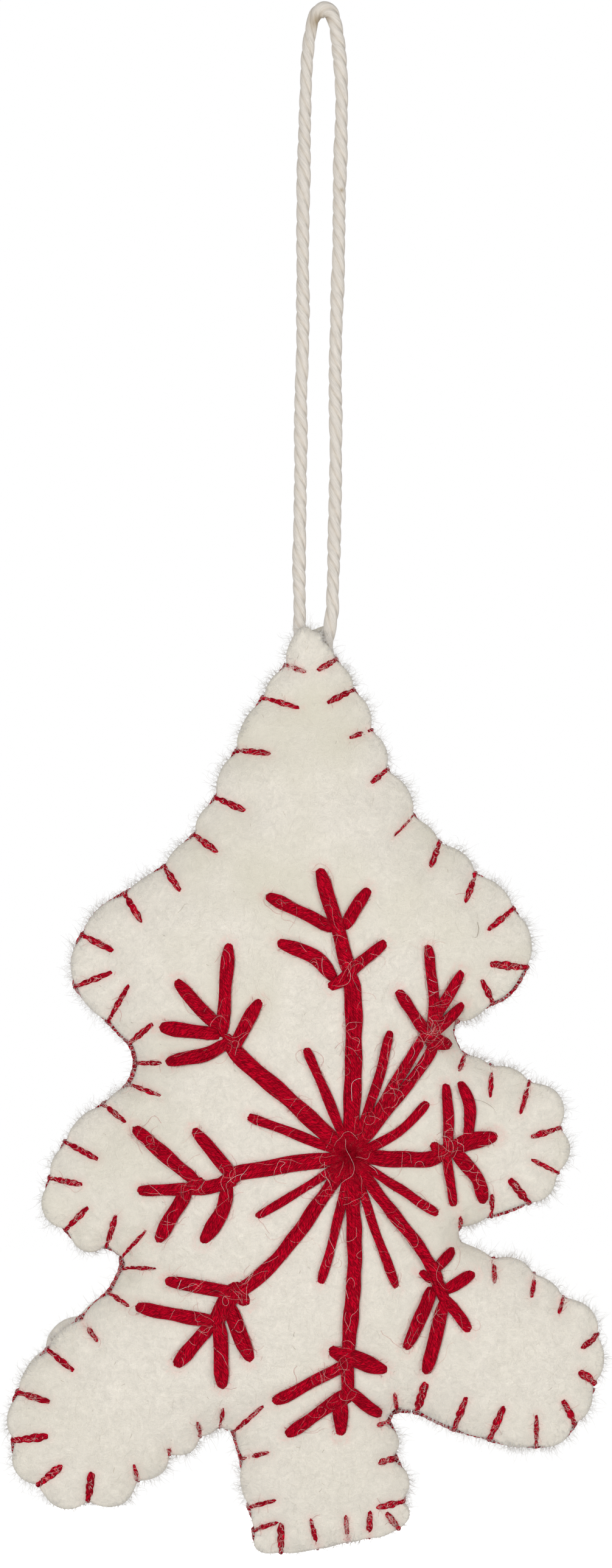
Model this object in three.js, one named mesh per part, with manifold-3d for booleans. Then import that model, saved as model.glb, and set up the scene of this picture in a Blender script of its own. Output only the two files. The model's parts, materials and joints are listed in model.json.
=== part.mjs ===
// Felt tree ornament: two felt panels sewn together round their edge over a soft filling,
// a snowflake embroidered on the front, and a twisted cord loop to hang it by.
// Millimetres, +Z up, front towards -Y. The origin is the inside of the loop's top, where it hangs.

import * as THREE from 'three';
import Module from 'manifold-3d';
import { mergeVertices } from 'three/addons/utils/BufferGeometryUtils.js';

// Pattern: the squared paper that the tree and its stitches are drawn on
const PATTERN_WIDTH = 100;
const PATTERN_HEIGHT = 160;
const PATTERN_COLUMNS = 10;
const PATTERN_ROWS = 16;
const LOOP_DROP = 97;
const hangingColumnShare = 5.32;

// Felt panels
const FELT_THICKNESS = 2.2;
const SEAM_GAP = 0.3;
const SEAM_INSET = 1.4;
const CROWN_HEIGHT = 6.9;
const CROWN_RUN = 9;
const FIT_GAP = 0.3;
const fillingShare = 0.9;

// Spacing of the points that the panels' surfaces are built on
const EDGE_STEP = 2.9;
const RIM_INSET = 2.6;
const RIM_STEP = 2.6;
const SHOULDER_INSET = 5.8;
const SHOULDER_STEP = 4.2;
const FIELD_INSET = 9;
const FIELD_STEP = 7.4;
const WELD_SIZE = 0.02;

// Threads
const EDGE_THREAD = 1.1;
const THREAD_GAP = 0.45;
const STITCH_GAP = 0.7;
const STEM_WIDTH = 2.7;
const BARB_WIDTH = 2.2;
const RAY_WIDTH = 1.5;
const stitchHeightShare = 0.55;
const tipWidthShare = 0.6;
const runWidthShare = 0.87;
const STITCH_STEP = 8;
const STAR_RADIUS = 8.2;

// Hanging cord
const CORD_DIAMETER = 2.1;

// Counts
const CORD_SIDES = 8;
const LEG_SIDES = 4;
const RUN_SIDES = 4;
const STITCH_SIDES = 6;
const STAR_SIDES = 24;
const STEPS_PER_POINT = 2;
const SMOOTHING_ROUNDS = 300;
const LEG_SAMPLES = 8;

// The tree's edge in pattern squares, going down the left side, along the foot and up the right.
// A row holds a stitch's place on the edge, the fullest point of the edge between it and the next
// stitch, and the inner end of the stitch's leg. A row without a leg only shapes the edge.
const outlineShares = {
  left_top: [
    [4.67, 0.91, 4.47, 1.13, 5.00, 1.04],
    [4.29, 1.45, 4.00, 1.87, 4.90, 1.63],
    [3.86, 2.32, 3.63, 2.65, 4.43, 2.38],
    [3.52, 3.09, 3.29, 3.37, 4.01, 3.31],
    [3.17, 3.70, 2.87, 3.93, 3.56, 3.98],
    [2.68, 4.21, 2.34, 4.40, 2.95, 4.61],
  ],
  left_upper_branch: [
    [2.03, 4.65, 1.58, 4.92, 2.32, 5.12],
    [1.32, 5.34, 1.14, 5.76, 1.84, 5.60],
    [1.21, 6.22, 1.43, 6.55, 1.83, 5.97],
    [1.76, 6.81, 1.93, 7.01, 2.12, 6.18],
    [2.10, 7.16, 2.16, 7.30, 2.50, 6.82],
  ],
  left_middle_branch: [
    [2.19, 7.46, 2.15, 7.63, 2.65, 7.45],
    [2.08, 7.79, 1.89, 7.92, 2.64, 7.98],
    [1.68, 8.11, 1.32, 8.36, 2.06, 8.41],
    [1.05, 8.74, 0.88, 9.01, 1.60, 9.02],
    [0.79, 9.34, 0.70, 9.88, 1.34, 9.44],
    [1.06, 10.22, 1.36, 10.54, 1.44, 9.83],
    [1.75, 10.50, 1.87, 10.60, 1.91, 9.96],
  ],
  left_lower_branch: [
    [1.97, 10.68, 1.99, 10.75, 2.40, 10.20],
    [1.96, 10.81, 1.87, 11.00, 2.56, 10.81],
    [1.76, 11.20, 1.53, 11.37, 2.12, 11.43],
    [1.32, 11.61, 1.01, 11.84, 1.60, 12.00],
    [0.76, 12.14, 0.47, 12.44, 1.20, 12.48],
    [0.26, 12.85, 0.12, 13.26, 0.80, 13.00],
    [0.19, 13.66, 0.25, 14.15, 0.77, 13.57],
  ],
  left_lower_foot: [
    [0.61, 14.41, 1.00, 14.77, 1.00, 14.07],
    [1.45, 14.67, 1.97, 14.72, 1.51, 14.20],
    [2.28, 14.34, 2.66, 14.20, 2.21, 14.05],
    [2.81, 13.91, 3.14, 13.85, 2.76, 13.70],
    [3.31, 13.61, 3.47, 13.56, 3.25, 13.35],
    [3.62, 13.47, 3.71, 13.52, 3.67, 13.12],
  ],
  trunk_left: [
    [3.81, 13.54, 3.85, 13.74, 4.32, 13.07],
    [3.93, 13.96, 3.95, 14.34, 4.41, 13.83],
    [4.06, 14.76, 4.10, 14.95, 4.52, 14.62],
    [4.14, 15.13, 4.22, 15.45, 4.55, 14.99],
  ],
  trunk_foot: [
    [4.62, 15.52, 4.92, 15.50, 4.62, 15.03],
    [5.23, 15.46, 5.47, 15.40, 5.11, 14.94],
    [5.72, 15.35, 5.90, 15.32, 5.68, 14.89],
    [6.06, 15.28, 6.32, 15.23, 6.08, 14.83],
    [6.57, 15.13, 6.74, 14.88, 6.37, 14.86],
  ],
  trunk_right: [
    [6.66, 14.65, 6.72, 14.27, 6.22, 14.74],
    [6.51, 13.94, 6.56, 13.62, 6.25, 14.00],
    [6.42, 13.34, 6.46, 13.26, 6.21, 13.39],
    [6.53, 13.19, 6.67, 13.22, 6.48, 12.87],
  ],
  right_lower_foot: [
    [6.83, 13.22, 7.14, 13.38, 6.98, 12.72],
    [7.44, 13.51, 7.73, 13.61, 7.65, 12.95],
    [8.03, 13.67, 8.40, 13.79, 8.26, 13.11],
    [8.81, 13.79, 9.22, 13.73, 8.81, 13.24],
    [9.47, 13.41, 9.70, 13.12, 9.26, 13.01],
  ],
  right_lower_branch: [
    [9.80, 12.72, 9.93, 12.32, 9.54, 12.53],
    [9.84, 11.91, 9.71, 11.51, 9.58, 12.11],
    [9.27, 11.29, 9.05, 11.05, 9.18, 11.55],
    [8.79, 10.91, 8.49, 10.68, 8.73, 11.28],
    [8.11, 10.65, 7.85, 10.51, 8.12, 11.04],
  ],
  right_middle_branch: [
    [7.60, 10.38, 7.57, 10.28],
    [7.57, 10.18, 7.83, 10.10, 7.56, 9.98],
    [8.08, 10.01, 8.40, 9.92, 8.08, 9.62],
    [8.70, 9.78, 9.03, 9.62, 8.39, 9.38],
    [9.19, 9.27, 9.37, 8.88, 8.74, 9.04],
    [9.23, 8.52, 9.20, 8.00, 8.74, 8.66],
    [8.71, 7.75, 8.43, 7.55, 8.55, 8.27],
    [8.08, 7.48, 7.87, 7.35, 8.05, 8.00],
    [7.65, 7.30, 7.56, 7.15, 7.54, 7.57],
  ],
  right_upper_branch: [
    [7.49, 6.98, 7.49, 6.89],
    [7.54, 6.81, 7.82, 6.71, 7.49, 6.78],
    [8.12, 6.51, 8.44, 6.31, 7.92, 6.11],
    [8.68, 5.90, 8.72, 5.37, 8.08, 5.83],
    [8.46, 4.91, 8.22, 4.56, 8.03, 5.26],
    [7.83, 4.32, 7.62, 4.02, 7.65, 4.80],
  ],
  right_top: [
    [7.24, 3.81, 7.06, 3.58, 7.08, 4.22],
    [6.82, 3.38, 6.70, 2.96, 6.48, 3.73],
    [6.39, 2.63, 6.33, 2.25, 6.11, 2.85],
    [6.13, 1.98, 6.05, 1.60, 5.76, 2.12],
    [5.84, 1.32, 5.74, 1.05, 5.40, 1.54],
    [5.55, 0.82, 5.52, 0.73, 5.25, 1.00],
  ],
  tip: [
    [5.48, 0.63, 5.43, 0.46],
    [5.30, 0.34, 5.18, 0.37],
    [5.05, 0.34, 4.93, 0.34],
    [4.84, 0.43, 4.73, 0.65],
  ],
};
const sectionsWithoutThread = ['tip'];

// The embroidery in pattern squares: the snowflake's centre, then each arm's stitches, the stem first
const starCentreShares = [5.73, 8.97];
const armStemShares = [
  [[5.73, 8.97], [5.80, 7.28], [5.77, 5.95], [5.56, 5.37], [5.27, 4.33]],
  [[5.73, 8.97], [6.85, 7.17], [7.10, 6.80]],
  [[5.73, 8.97], [6.22, 9.11], [7.10, 8.98], [7.45, 8.84], [8.09, 8.66]],
  [[5.73, 8.97], [6.45, 9.91], [7.12, 10.82], [7.30, 11.35]],
  [[5.73, 8.97], [5.82, 10.57], [5.71, 12.04], [5.62, 12.50], [5.59, 13.50]],
  [[5.73, 8.97], [4.99, 10.08], [4.01, 11.11], [3.68, 11.70]],
  [[5.73, 8.97], [4.70, 9.10], [3.50, 9.46], [2.34, 9.53]],
  [[5.73, 8.97], [4.05, 7.43], [3.75, 7.05]],
];
const armBarbShares = [
  [[[4.43, 4.73], [5.40, 5.21]], [[6.03, 4.63], [5.62, 5.23]], [[4.62, 5.49], [5.30, 5.85], [5.72, 6.04]],
    [[6.28, 5.50], [5.76, 5.96]]],
  [[[6.07, 8.70], [7.06, 7.28]], [[6.55, 6.30], [6.95, 6.95]], [[7.04, 5.56], [7.08, 6.80]],
    [[7.56, 5.99], [7.08, 6.85]], [[7.52, 6.47], [7.08, 6.92]], [[7.33, 7.15], [7.03, 7.05]]],
  [[[7.32, 7.87], [7.33, 8.80]], [[7.31, 8.97], [7.43, 9.74]], [[7.57, 7.82], [7.70, 8.19], [7.66, 8.75]],
    [[7.50, 8.95], [7.85, 9.36], [7.92, 9.69]]],
  [[[7.41, 10.54], [7.10, 10.85]], [[7.74, 10.93], [7.25, 11.18]], [[6.70, 12.07], [7.08, 11.15]],
    [[7.00, 12.46], [7.30, 11.30]], [[7.67, 11.79], [7.35, 11.30]], [[6.93, 10.88], [7.12, 10.95]]],
  [[[6.29, 12.45], [5.64, 12.20]], [[4.55, 12.96], [5.62, 12.38]], [[6.19, 13.18], [5.62, 12.78]],
    [[4.77, 13.49], [5.60, 12.88]], [[5.48, 12.13], [5.66, 12.20]]],
  [[[2.80, 11.03], [3.95, 11.22]], [[2.31, 11.47], [3.68, 11.70]], [[2.94, 12.34], [3.38, 11.72]],
    [[3.66, 12.70], [3.64, 11.65]], [[4.09, 12.24], [3.72, 11.40]]],
  [[[2.26, 8.57], [3.22, 9.40]], [[3.24, 8.58], [3.85, 9.30]], [[2.65, 10.30], [3.12, 9.52]],
    [[3.36, 10.31], [3.66, 9.87], [3.76, 9.42]]],
  [[[3.76, 5.55], [3.68, 7.00]], [[4.24, 6.47], [3.80, 7.25]], [[2.95, 6.15], [3.60, 6.90]],
    [[2.71, 6.88], [3.68, 6.98]], [[2.81, 7.41], [3.76, 7.15]], [[3.92, 7.36], [3.80, 7.15]]],
];
const rayTipShares = [
  [5.05, 7.23], [6.40, 6.97], [6.98, 8.12], [7.15, 9.90], [6.50, 11.07], [5.29, 11.00], [4.27, 9.93], [4.12, 8.33],
];

// The cord's route from the left joint over the top to the right joint, chosen by eye
const CORD_ROUTE = [
  [-3.95, 0, -95.75], [-4.0, 0, -93.5], [-4.05, 0.1, -90], [-3.95, 0.2, -85], [-3.85, 0.3, -78],
  [-3.75, 0.3, -70], [-3.75, 0.1, -62], [-3.5, -0.1, -56], [-3.4, -0.2, -48], [-3.45, -0.2, -39],
  [-3.35, -0.1, -29], [-3.15, 0, -19], [-2.95, 0, -12], [-2.7, 0, -6.5], [-2.25, 0, -2.4],
  [-1.75, 0, -0.3], [-0.98, 0, 1.0], [0, 0, 1.45], [0.98, 0, 1.0], [1.75, 0, -0.3],
  [2.2, 0, -2.4], [2.55, 0, -6.5], [2.75, 0, -12], [2.75, -0.1, -19], [2.55, -0.2, -29],
  [2.45, -0.3, -39], [2.15, -0.3, -48], [1.9, -0.2, -58], [2.0, 0, -68], [1.95, 0.1, -76],
  [1.75, 0.1, -85], [1.65, 0, -90], [1.5, 0, -93.5], [1.45, 0, -95.75],
];
// The cord's two ends, from the joints down between the felts
const LEFT_TAIL_ROUTE = [[-3.95, 0, -96.05], [-3.95, 0, -98], [-3.95, 0, -103], [-4.15, 0, -112]];
const RIGHT_TAIL_ROUTE = [[1.45, 0, -96.05], [1.4, 0, -97.5], [0.2, 0, -104.5], [-1.0, 0, -112]];

const COLOURS = { felt: 0xe6e0d4, thread: 0xb20a20, cord: 0xe2d9cd, filling: 0xf3f1ec };

const wasm = await Module();
wasm.setup();

// Places

function square(column, row) {
  const x = (column - hangingColumnShare) * PATTERN_WIDTH / PATTERN_COLUMNS;
  const z = -LOOP_DROP - row * PATTERN_HEIGHT / PATTERN_ROWS;
  return new THREE.Vector2(x, z);
}

function segmentDistance(point, start, end) {
  const along = end.clone().sub(start);
  const share = THREE.MathUtils.clamp(point.clone().sub(start).dot(along) / along.lengthSq(), 0, 1);
  return point.distanceTo(start.clone().addScaledVector(along, share));
}

function edgeDistance(point, polygon) {
  let least = Infinity;
  polygon.forEach((start, i) => {
    least = Math.min(least, segmentDistance(point, start, polygon[(i + 1) % polygon.length]));
  });
  return least;
}

function isInside(point, polygon) {
  let inside = false;
  polygon.forEach((a, i) => {
    const b = polygon[(i + 1) % polygon.length];
    const crosses = (a.y > point.y) !== (b.y > point.y);
    if (crosses && point.x < a.x + (b.x - a.x) * (point.y - a.y) / (b.y - a.y)) inside = !inside;
  });
  return inside;
}

// Outward direction of each point of a polygon that runs counterclockwise
function outwardDirections(polygon) {
  return polygon.map((point, i) => {
    const next = polygon[(i + 1) % polygon.length];
    const previous = polygon[(i + polygon.length - 1) % polygon.length];
    const along = next.clone().sub(previous).normalize();
    return new THREE.Vector2(along.y, -along.x);
  });
}

// The edge's points in order, and for each row where it starts among them
function sampleOutline() {
  const rows = Object.entries(outlineShares).flatMap(([section, list]) => list.map((row) => ({ section, row })));
  const points = [];
  rows.forEach((entry, i) => {
    const [startColumn, startRow, fullColumn, fullRow] = entry.row;
    const start = square(startColumn, startRow);
    const full = square(fullColumn, fullRow);
    const end = square(...rows[(i + 1) % rows.length].row.slice(0, 2));
    const bend = full.clone().multiplyScalar(2).sub(start.clone().add(end).multiplyScalar(1 / 2));
    const curve = new THREE.QuadraticBezierCurve(start, bend, end);
    const steps = Math.max(1, Math.round((start.distanceTo(full) + full.distanceTo(end)) / EDGE_STEP));
    entry.first = points.length;
    for (let k = 0; k < steps; k += 1) points.push(curve.getPoint(k / steps));
  });
  return { rows, points };
}

// Triangles over a set of points, each with an empty circumcircle
function triangulate(points) {
  const box = new THREE.Box2().setFromPoints(points);
  const centre = box.getCenter(new THREE.Vector2());
  const reach = box.getSize(new THREE.Vector2()).length() * 20;
  const corners = [0, 1, 2].map((k) => {
    const angle = k * 2 * Math.PI / 3;
    return new THREE.Vector2(Math.cos(angle), Math.sin(angle)).multiplyScalar(reach).add(centre);
  });
  const all = [...points, ...corners];
  const withCircle = (a, b, c) => {
    const ab = all[b].clone().sub(all[a]);
    const ac = all[c].clone().sub(all[a]);
    const cross = 2 * ab.cross(ac);
    const x = (ac.y * ab.lengthSq() - ab.y * ac.lengthSq()) / cross;
    const y = (ab.x * ac.lengthSq() - ac.x * ab.lengthSq()) / cross;
    return { corners: [a, b, c], centre: new THREE.Vector2(x, y).add(all[a]), radiusSq: x * x + y * y };
  };
  let triangles = [withCircle(points.length, points.length + 1, points.length + 2)];
  points.forEach((point, i) => {
    const rim = new Map();
    triangles = triangles.filter((triangle) => {
      if (point.distanceToSquared(triangle.centre) >= triangle.radiusSq) return true;
      triangle.corners.forEach((a, k) => {
        const b = triangle.corners[(k + 1) % 3];
        if (!rim.delete(`${b} ${a}`)) rim.set(`${a} ${b}`, [a, b]);
      });
      return false;
    });
    rim.forEach(([a, b]) => triangles.push(withCircle(a, b, i)));
  });
  return triangles.map((triangle) => triangle.corners).filter((corners) => Math.max(...corners) < points.length);
}

// Points over the inside of a polygon, close near its edge and wide in its middle
function fillPolygon(polygon, rings, fieldInset, fieldStep) {
  const outward = outwardDirections(polygon);
  const points = [...polygon];
  const inner = [];
  const offer = (point, inset, step) => {
    if (!isInside(point, polygon) || edgeDistance(point, polygon) < inset) return;
    if (inner.every((other) => other.distanceTo(point) > step)) inner.push(point);
  };
  rings.forEach(([inset, step]) => {
    polygon.forEach((point, i) => {
      offer(point.clone().addScaledVector(outward[i], -inset), inset * 0.9, step * 0.8);
    });
  });
  const box = new THREE.Box2().setFromPoints(polygon);
  const rise = fieldStep * Math.sqrt(3) / 2;
  for (let row = 0; box.min.y + row * rise < box.max.y; row += 1) {
    for (let x = box.min.x + (row % 2) * fieldStep / 2; x < box.max.x; x += fieldStep) {
      offer(new THREE.Vector2(x, box.min.y + row * rise), fieldInset, fieldStep * 0.5);
    }
  }
  points.push(...inner);
  const triangles = triangulate(points).filter((corners) => {
    const middle = new THREE.Vector2();
    corners.forEach((k) => middle.addScaledVector(points[k], 1 / 3));
    return isInside(middle, polygon);
  });
  return { points, triangles, rimCount: polygon.length };
}

// How far the filling lifts each point, from 0 at the edge towards 1 in a wide middle, as a
// stretched skin over a soft filling does
function liftShares({ points, triangles, rimCount }) {
  const pulls = points.map(() => new Map());
  const areas = points.map(() => 0);
  triangles.forEach((corners) => {
    corners.forEach((a, k) => {
      const b = corners[(k + 1) % 3];
      const c = corners[(k + 2) % 3];
      const toA = points[a].clone().sub(points[c]);
      const toB = points[b].clone().sub(points[c]);
      const cotangent = toA.dot(toB) / Math.abs(toA.cross(toB));
      pulls[a].set(b, (pulls[a].get(b) ?? 0) + cotangent / 2);
      pulls[b].set(a, (pulls[b].get(a) ?? 0) + cotangent / 2);
      areas[a] += Math.abs(toA.cross(toB)) / 6;
    });
  });
  const lift = points.map(() => 0);
  for (let round = 0; round < SMOOTHING_ROUNDS; round += 1) {
    for (let i = rimCount; i < points.length; i += 1) {
      const push = areas[i] / CROWN_RUN ** 2;
      let total = push;
      let weight = push;
      pulls[i].forEach((pull, j) => {
        total += pull * lift[j];
        weight += pull;
      });
      lift[i] = total / weight;
    }
  }
  return lift;
}

const outline = sampleOutline();
const panel = fillPolygon(outline.points, [[RIM_INSET, RIM_STEP], [SHOULDER_INSET, SHOULDER_STEP]], FIELD_INSET, FIELD_STEP);
const panelLift = liftShares(panel);
const outlineOutward = outwardDirections(outline.points);

// The crown over the seam's plane at any place on a panel
function crownAt(place) {
  for (const corners of panel.triangles) {
    const [a, b, c] = corners.map((k) => panel.points[k]);
    const whole = b.clone().sub(a).cross(c.clone().sub(a));
    const shareB = place.clone().sub(a).cross(c.clone().sub(a)) / whole;
    const shareC = b.clone().sub(a).cross(place.clone().sub(a)) / whole;
    const shareA = 1 - shareB - shareC;
    if (Math.min(shareA, shareB, shareC) >= -1e-6) {
      const [liftA, liftB, liftC] = corners.map((k) => panelLift[k]);
      return CROWN_HEIGHT * (shareA * liftA + shareB * liftB + shareC * liftC);
    }
  }
  return 0;
}

function outerFaceAt(place) {
  return SEAM_GAP / 2 + FELT_THICKNESS + crownAt(place);
}

// Solids

function solidOf(geometry) {
  const bare = geometry.clone();
  bare.deleteAttribute('normal');
  bare.deleteAttribute('uv');
  const merged = mergeVertices(bare);
  const vertProperties = new Float32Array(merged.attributes.position.array);
  const triVerts = new Uint32Array(merged.index.array);
  return new wasm.Manifold(new wasm.Mesh({ numProp: 3, vertProperties, triVerts }));
}

// The largest body of a solid: joining threads can leave specks of no volume beside it
function geometryOf(solid) {
  const bodies = solid.asOriginal().simplify(WELD_SIZE).decompose().sort((a, b) => b.volume() - a.volume());
  const mesh = bodies[0].getMesh();
  const geometry = new THREE.BufferGeometry();
  geometry.setAttribute('position', new THREE.BufferAttribute(new Float32Array(mesh.vertProperties), 3));
  geometry.setIndex(new THREE.BufferAttribute(new Uint32Array(mesh.triVerts), 1));
  geometry.computeVertexNormals();
  return geometry;
}

function indexedGeometry(vertices, faces) {
  const geometry = new THREE.BufferGeometry();
  geometry.setAttribute('position', new THREE.Float32BufferAttribute(vertices.flatMap((v) => v.toArray()), 3));
  geometry.setIndex(faces.flat());
  geometry.computeVertexNormals();
  return geometry;
}

// A closed slab between two skins over the same triangles. The skin towards -Y comes first.
function slab(frontSkin, backSkin, { triangles, rimCount }) {
  const count = frontSkin.length;
  const faces = [];
  triangles.forEach(([a, b, c]) => {
    const turn = frontSkin[b].clone().sub(frontSkin[a]).cross(frontSkin[c].clone().sub(frontSkin[a]));
    const [first, second, third] = turn.y < 0 ? [a, b, c] : [a, c, b];
    faces.push([first, second, third], [first + count, third + count, second + count]);
  });
  for (let i = 0; i < rimCount; i += 1) {
    const j = (i + 1) % rimCount;
    faces.push([i, i + count, j + count], [i, j + count, j]);
  }
  return indexedGeometry([...frontSkin, ...backSkin], faces);
}

// A tube through centres, with a flattened section whose wide way is given for each centre
function threadTube(centres, wideWays, halfWidths, halfHeights, sides) {
  const vertices = [];
  const faces = [];
  centres.forEach((centre, i) => {
    const along = centres[Math.min(i + 1, centres.length - 1)].clone().sub(centres[Math.max(i - 1, 0)]).normalize();
    const tall = along.cross(wideWays[i]).normalize();
    for (let k = 0; k < sides; k += 1) {
      const angle = k * 2 * Math.PI / sides;
      const vertex = centre.clone().addScaledVector(wideWays[i], Math.cos(angle) * halfWidths[i]);
      vertices.push(vertex.addScaledVector(tall, Math.sin(angle) * halfHeights[i]));
    }
  });
  const last = (centres.length - 1) * sides;
  for (let ring = 0; ring < last; ring += sides) {
    for (let k = 0; k < sides; k += 1) {
      const next = (k + 1) % sides;
      faces.push([ring + k, ring + next, ring + sides + next], [ring + k, ring + sides + next, ring + sides + k]);
    }
  }
  for (let k = 1; k < sides - 1; k += 1) faces.push([0, k + 1, k], [last, last + k, last + k + 1]);
  return indexedGeometry(vertices, faces);
}

// Hanging cord

const CORD_RADIUS = CORD_DIAMETER / 2;

class RouteCurve extends THREE.CatmullRomCurve3 {
  // Steps follow the route's points, so that the tight bend has more of them
  getUtoTmapping(u) {
    return u;
  }
}

function cordTube(route, radius) {
  const curve = new RouteCurve(route.map((place) => new THREE.Vector3(...place)), false, 'centripetal');
  const section = new THREE.Shape();
  for (let k = 0; k < CORD_SIDES; k += 1) {
    const angle = k * 2 * Math.PI / CORD_SIDES;
    const move = k === 0 ? 'moveTo' : 'lineTo';
    section[move](radius * Math.cos(angle), radius * Math.sin(angle));
  }
  section.closePath();
  const steps = (route.length - 1) * STEPS_PER_POINT;
  return new THREE.ExtrudeGeometry(section, { steps, extrudePath: curve });
}

// Felt panels and filling

const tailRoutes = [LEFT_TAIL_ROUTE, RIGHT_TAIL_ROUTE];
const tailBottom = Math.min(...tailRoutes.flat().map((place) => place[2]));

// The cord's ends lie in channels between the felts
function withCordChannels(geometry) {
  let solid = solidOf(geometry);
  tailRoutes.forEach((route) => {
    solid = solid.subtract(solidOf(cordTube(route, CORD_RADIUS + FIT_GAP)));
  });
  return geometryOf(solid);
}

// The felts' inner faces stop short of the edge, so the seam is a groove that holds the thread
const innerPlaces = panel.points.map((point, i) => {
  return i < panel.rimCount ? point.clone().addScaledVector(outlineOutward[i], -SEAM_INSET) : point;
});

function feltPanel(side) {
  const outer = panel.points.map((p, i) => {
    const y = SEAM_GAP / 2 + FELT_THICKNESS + CROWN_HEIGHT * panelLift[i];
    return new THREE.Vector3(p.x, side * y, p.y);
  });
  const inner = innerPlaces.map((place, i) => {
    return new THREE.Vector3(place.x, side * (SEAM_GAP / 2 + CROWN_HEIGHT * panelLift[i]), place.y);
  });
  const [front, back] = side < 0 ? [outer, inner] : [inner, outer];
  return withCordChannels(slab(front, back, panel));
}

// The filling reaches to the stitches' inner ends, below the cord's tails. It follows the felts'
// inner faces a little way off them.
function fillingBody() {
  const halves = panelLift.map((lift) => SEAM_GAP / 2 + CROWN_HEIGHT * lift * fillingShare);
  const front = innerPlaces.map((place, i) => new THREE.Vector3(place.x, -halves[i], place.y));
  const back = innerPlaces.map((place, i) => new THREE.Vector3(place.x, halves[i], place.y));
  const legEnds = outline.rows.filter(({ row }) => row.length > 4).map(({ row }) => square(row[4], row[5]));
  const rim = new THREE.Shape(legEnds.filter((place) => place.y < tailBottom - FIT_GAP));
  const depth = 2 * CROWN_HEIGHT;
  const reach = new THREE.ExtrudeGeometry(rim, { depth, bevelEnabled: false, steps: 1 });
  reach.rotateX(Math.PI / 2);
  reach.translate(0, depth / 2, 0);
  return geometryOf(solidOf(slab(front, back, panel)).intersect(solidOf(reach)));
}

// Edge stitching

const threadRadius = EDGE_THREAD / 2;
const rimHalf = SEAM_GAP / 2 + FELT_THICKNESS;
const rimSlope = Math.hypot(SEAM_INSET, FELT_THICKNESS);
// Where the thread's middle lies, outwards from the felt's edge, to clear both sloping rims
const runOut = ((threadRadius + THREAD_GAP) * rimSlope - rimHalf * SEAM_INSET) / FELT_THICKNESS;
const threadClear = threadRadius + THREAD_GAP;

// Heights of the middle and the inner end of a leg that keep its straight stretches off the felt
function legHeights(start, startHeight, end) {
  const middle = start.clone().lerp(end, 1 / 2);
  const raise = (from, fromHeight, to) => {
    let height = outerFaceAt(to) + threadClear;
    for (let k = 1; k < LEG_SAMPLES; k += 1) {
      const share = k / LEG_SAMPLES;
      const needed = outerFaceAt(from.clone().lerp(to, share)) + threadClear;
      height = Math.max(height, (needed - fromHeight * (1 - share)) / share);
    }
    return height;
  };
  const middleHeight = raise(start, startHeight, middle);
  return [middle, middleHeight, raise(middle, middleHeight, end)];
}

function legTube({ row, first }) {
  const foot = square(row[0], row[1]);
  const end = square(row[4], row[5]);
  const out = outlineOutward[first];
  const shoulder = foot.clone().addScaledVector(out, threadClear);
  const shoulderHeight = rimHalf + threadRadius;
  const [middle, middleHeight, endHeight] = legHeights(shoulder, shoulderHeight, end);
  const half = [[shoulder, shoulderHeight], [middle, middleHeight], [end, endHeight]];
  const front = half.map(([place, height]) => new THREE.Vector3(place.x, -height, place.y)).reverse();
  const back = half.map(([place, height]) => new THREE.Vector3(place.x, height, place.y));
  const seam = foot.clone().addScaledVector(out, runOut);
  const centres = [...front, new THREE.Vector3(seam.x, 0, seam.y), ...back];
  const across = new THREE.Vector3(-out.y, 0, out.x);
  const radii = centres.map(() => threadRadius);
  return threadTube(centres, centres.map(() => across), radii, radii, LEG_SIDES);
}

function runTube(first, last) {
  const places = outline.points.slice(first, last + 1).map((point, k) => {
    return point.clone().addScaledVector(outlineOutward[first + k], runOut);
  });
  const end = places[places.length - 1];
  const next = outline.points[(last + 1) % outline.points.length].clone();
  const room = next.distanceTo(end) - 2 * threadClear;
  if (room > 0) places.push(end.clone().lerp(next, room / next.distanceTo(end)));
  const centres = places.map((place) => new THREE.Vector3(place.x, 0, place.y));
  const radii = centres.map(() => threadRadius * runWidthShare);
  const across = new THREE.Vector3(0, 1, 0);
  return threadTube(centres, centres.map(() => across), radii, radii, RUN_SIDES);
}

function edgeStitching(section) {
  const rows = outline.rows.filter((entry) => entry.section === section);
  const stitched = rows.filter(({ row }) => row.length > 4);
  const after = outline.rows.indexOf(rows[rows.length - 1]) + 1;
  const endPoint = outline.rows[after].first - 1;
  let solid = solidOf(runTube(stitched[0].first, endPoint));
  stitched.forEach((entry) => {
    solid = solid.add(solidOf(legTube(entry)));
  });
  return geometryOf(solid);
}

// Embroidery

function lieOnFelt(places, width) {
  const halfHeight = width * stitchHeightShare / 2;
  return places.map((place) => {
    return new THREE.Vector3(place.x, -(outerFaceAt(place) + STITCH_GAP + halfHeight), place.y);
  });
}

function stitchTube(route, width, startShare) {
  const corners = route.map(([column, row]) => square(column, row));
  const places = [corners[0]];
  corners.slice(1).forEach((corner, i) => {
    const steps = Math.max(1, Math.round(corner.distanceTo(corners[i]) / STITCH_STEP));
    for (let k = 1; k <= steps; k += 1) places.push(corners[i].clone().lerp(corner, k / steps));
  });
  const centres = lieOnFelt(places, width);
  const wideWays = places.map((place, i) => {
    const along = places[Math.min(i + 1, places.length - 1)].clone().sub(places[Math.max(i - 1, 0)]).normalize();
    return new THREE.Vector3(-along.y, 0, along.x);
  });
  const shares = places.map((place, i) => {
    if (i === 0) return startShare;
    return i === places.length - 1 ? tipWidthShare : 1;
  });
  const halfWidths = shares.map((share) => share * width / 2);
  const halfHeights = halfWidths.map((half) => half * stitchHeightShare);
  return threadTube(centres, wideWays, halfWidths, halfHeights, STITCH_SIDES);
}

const starCentre = square(...starCentreShares);

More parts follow.
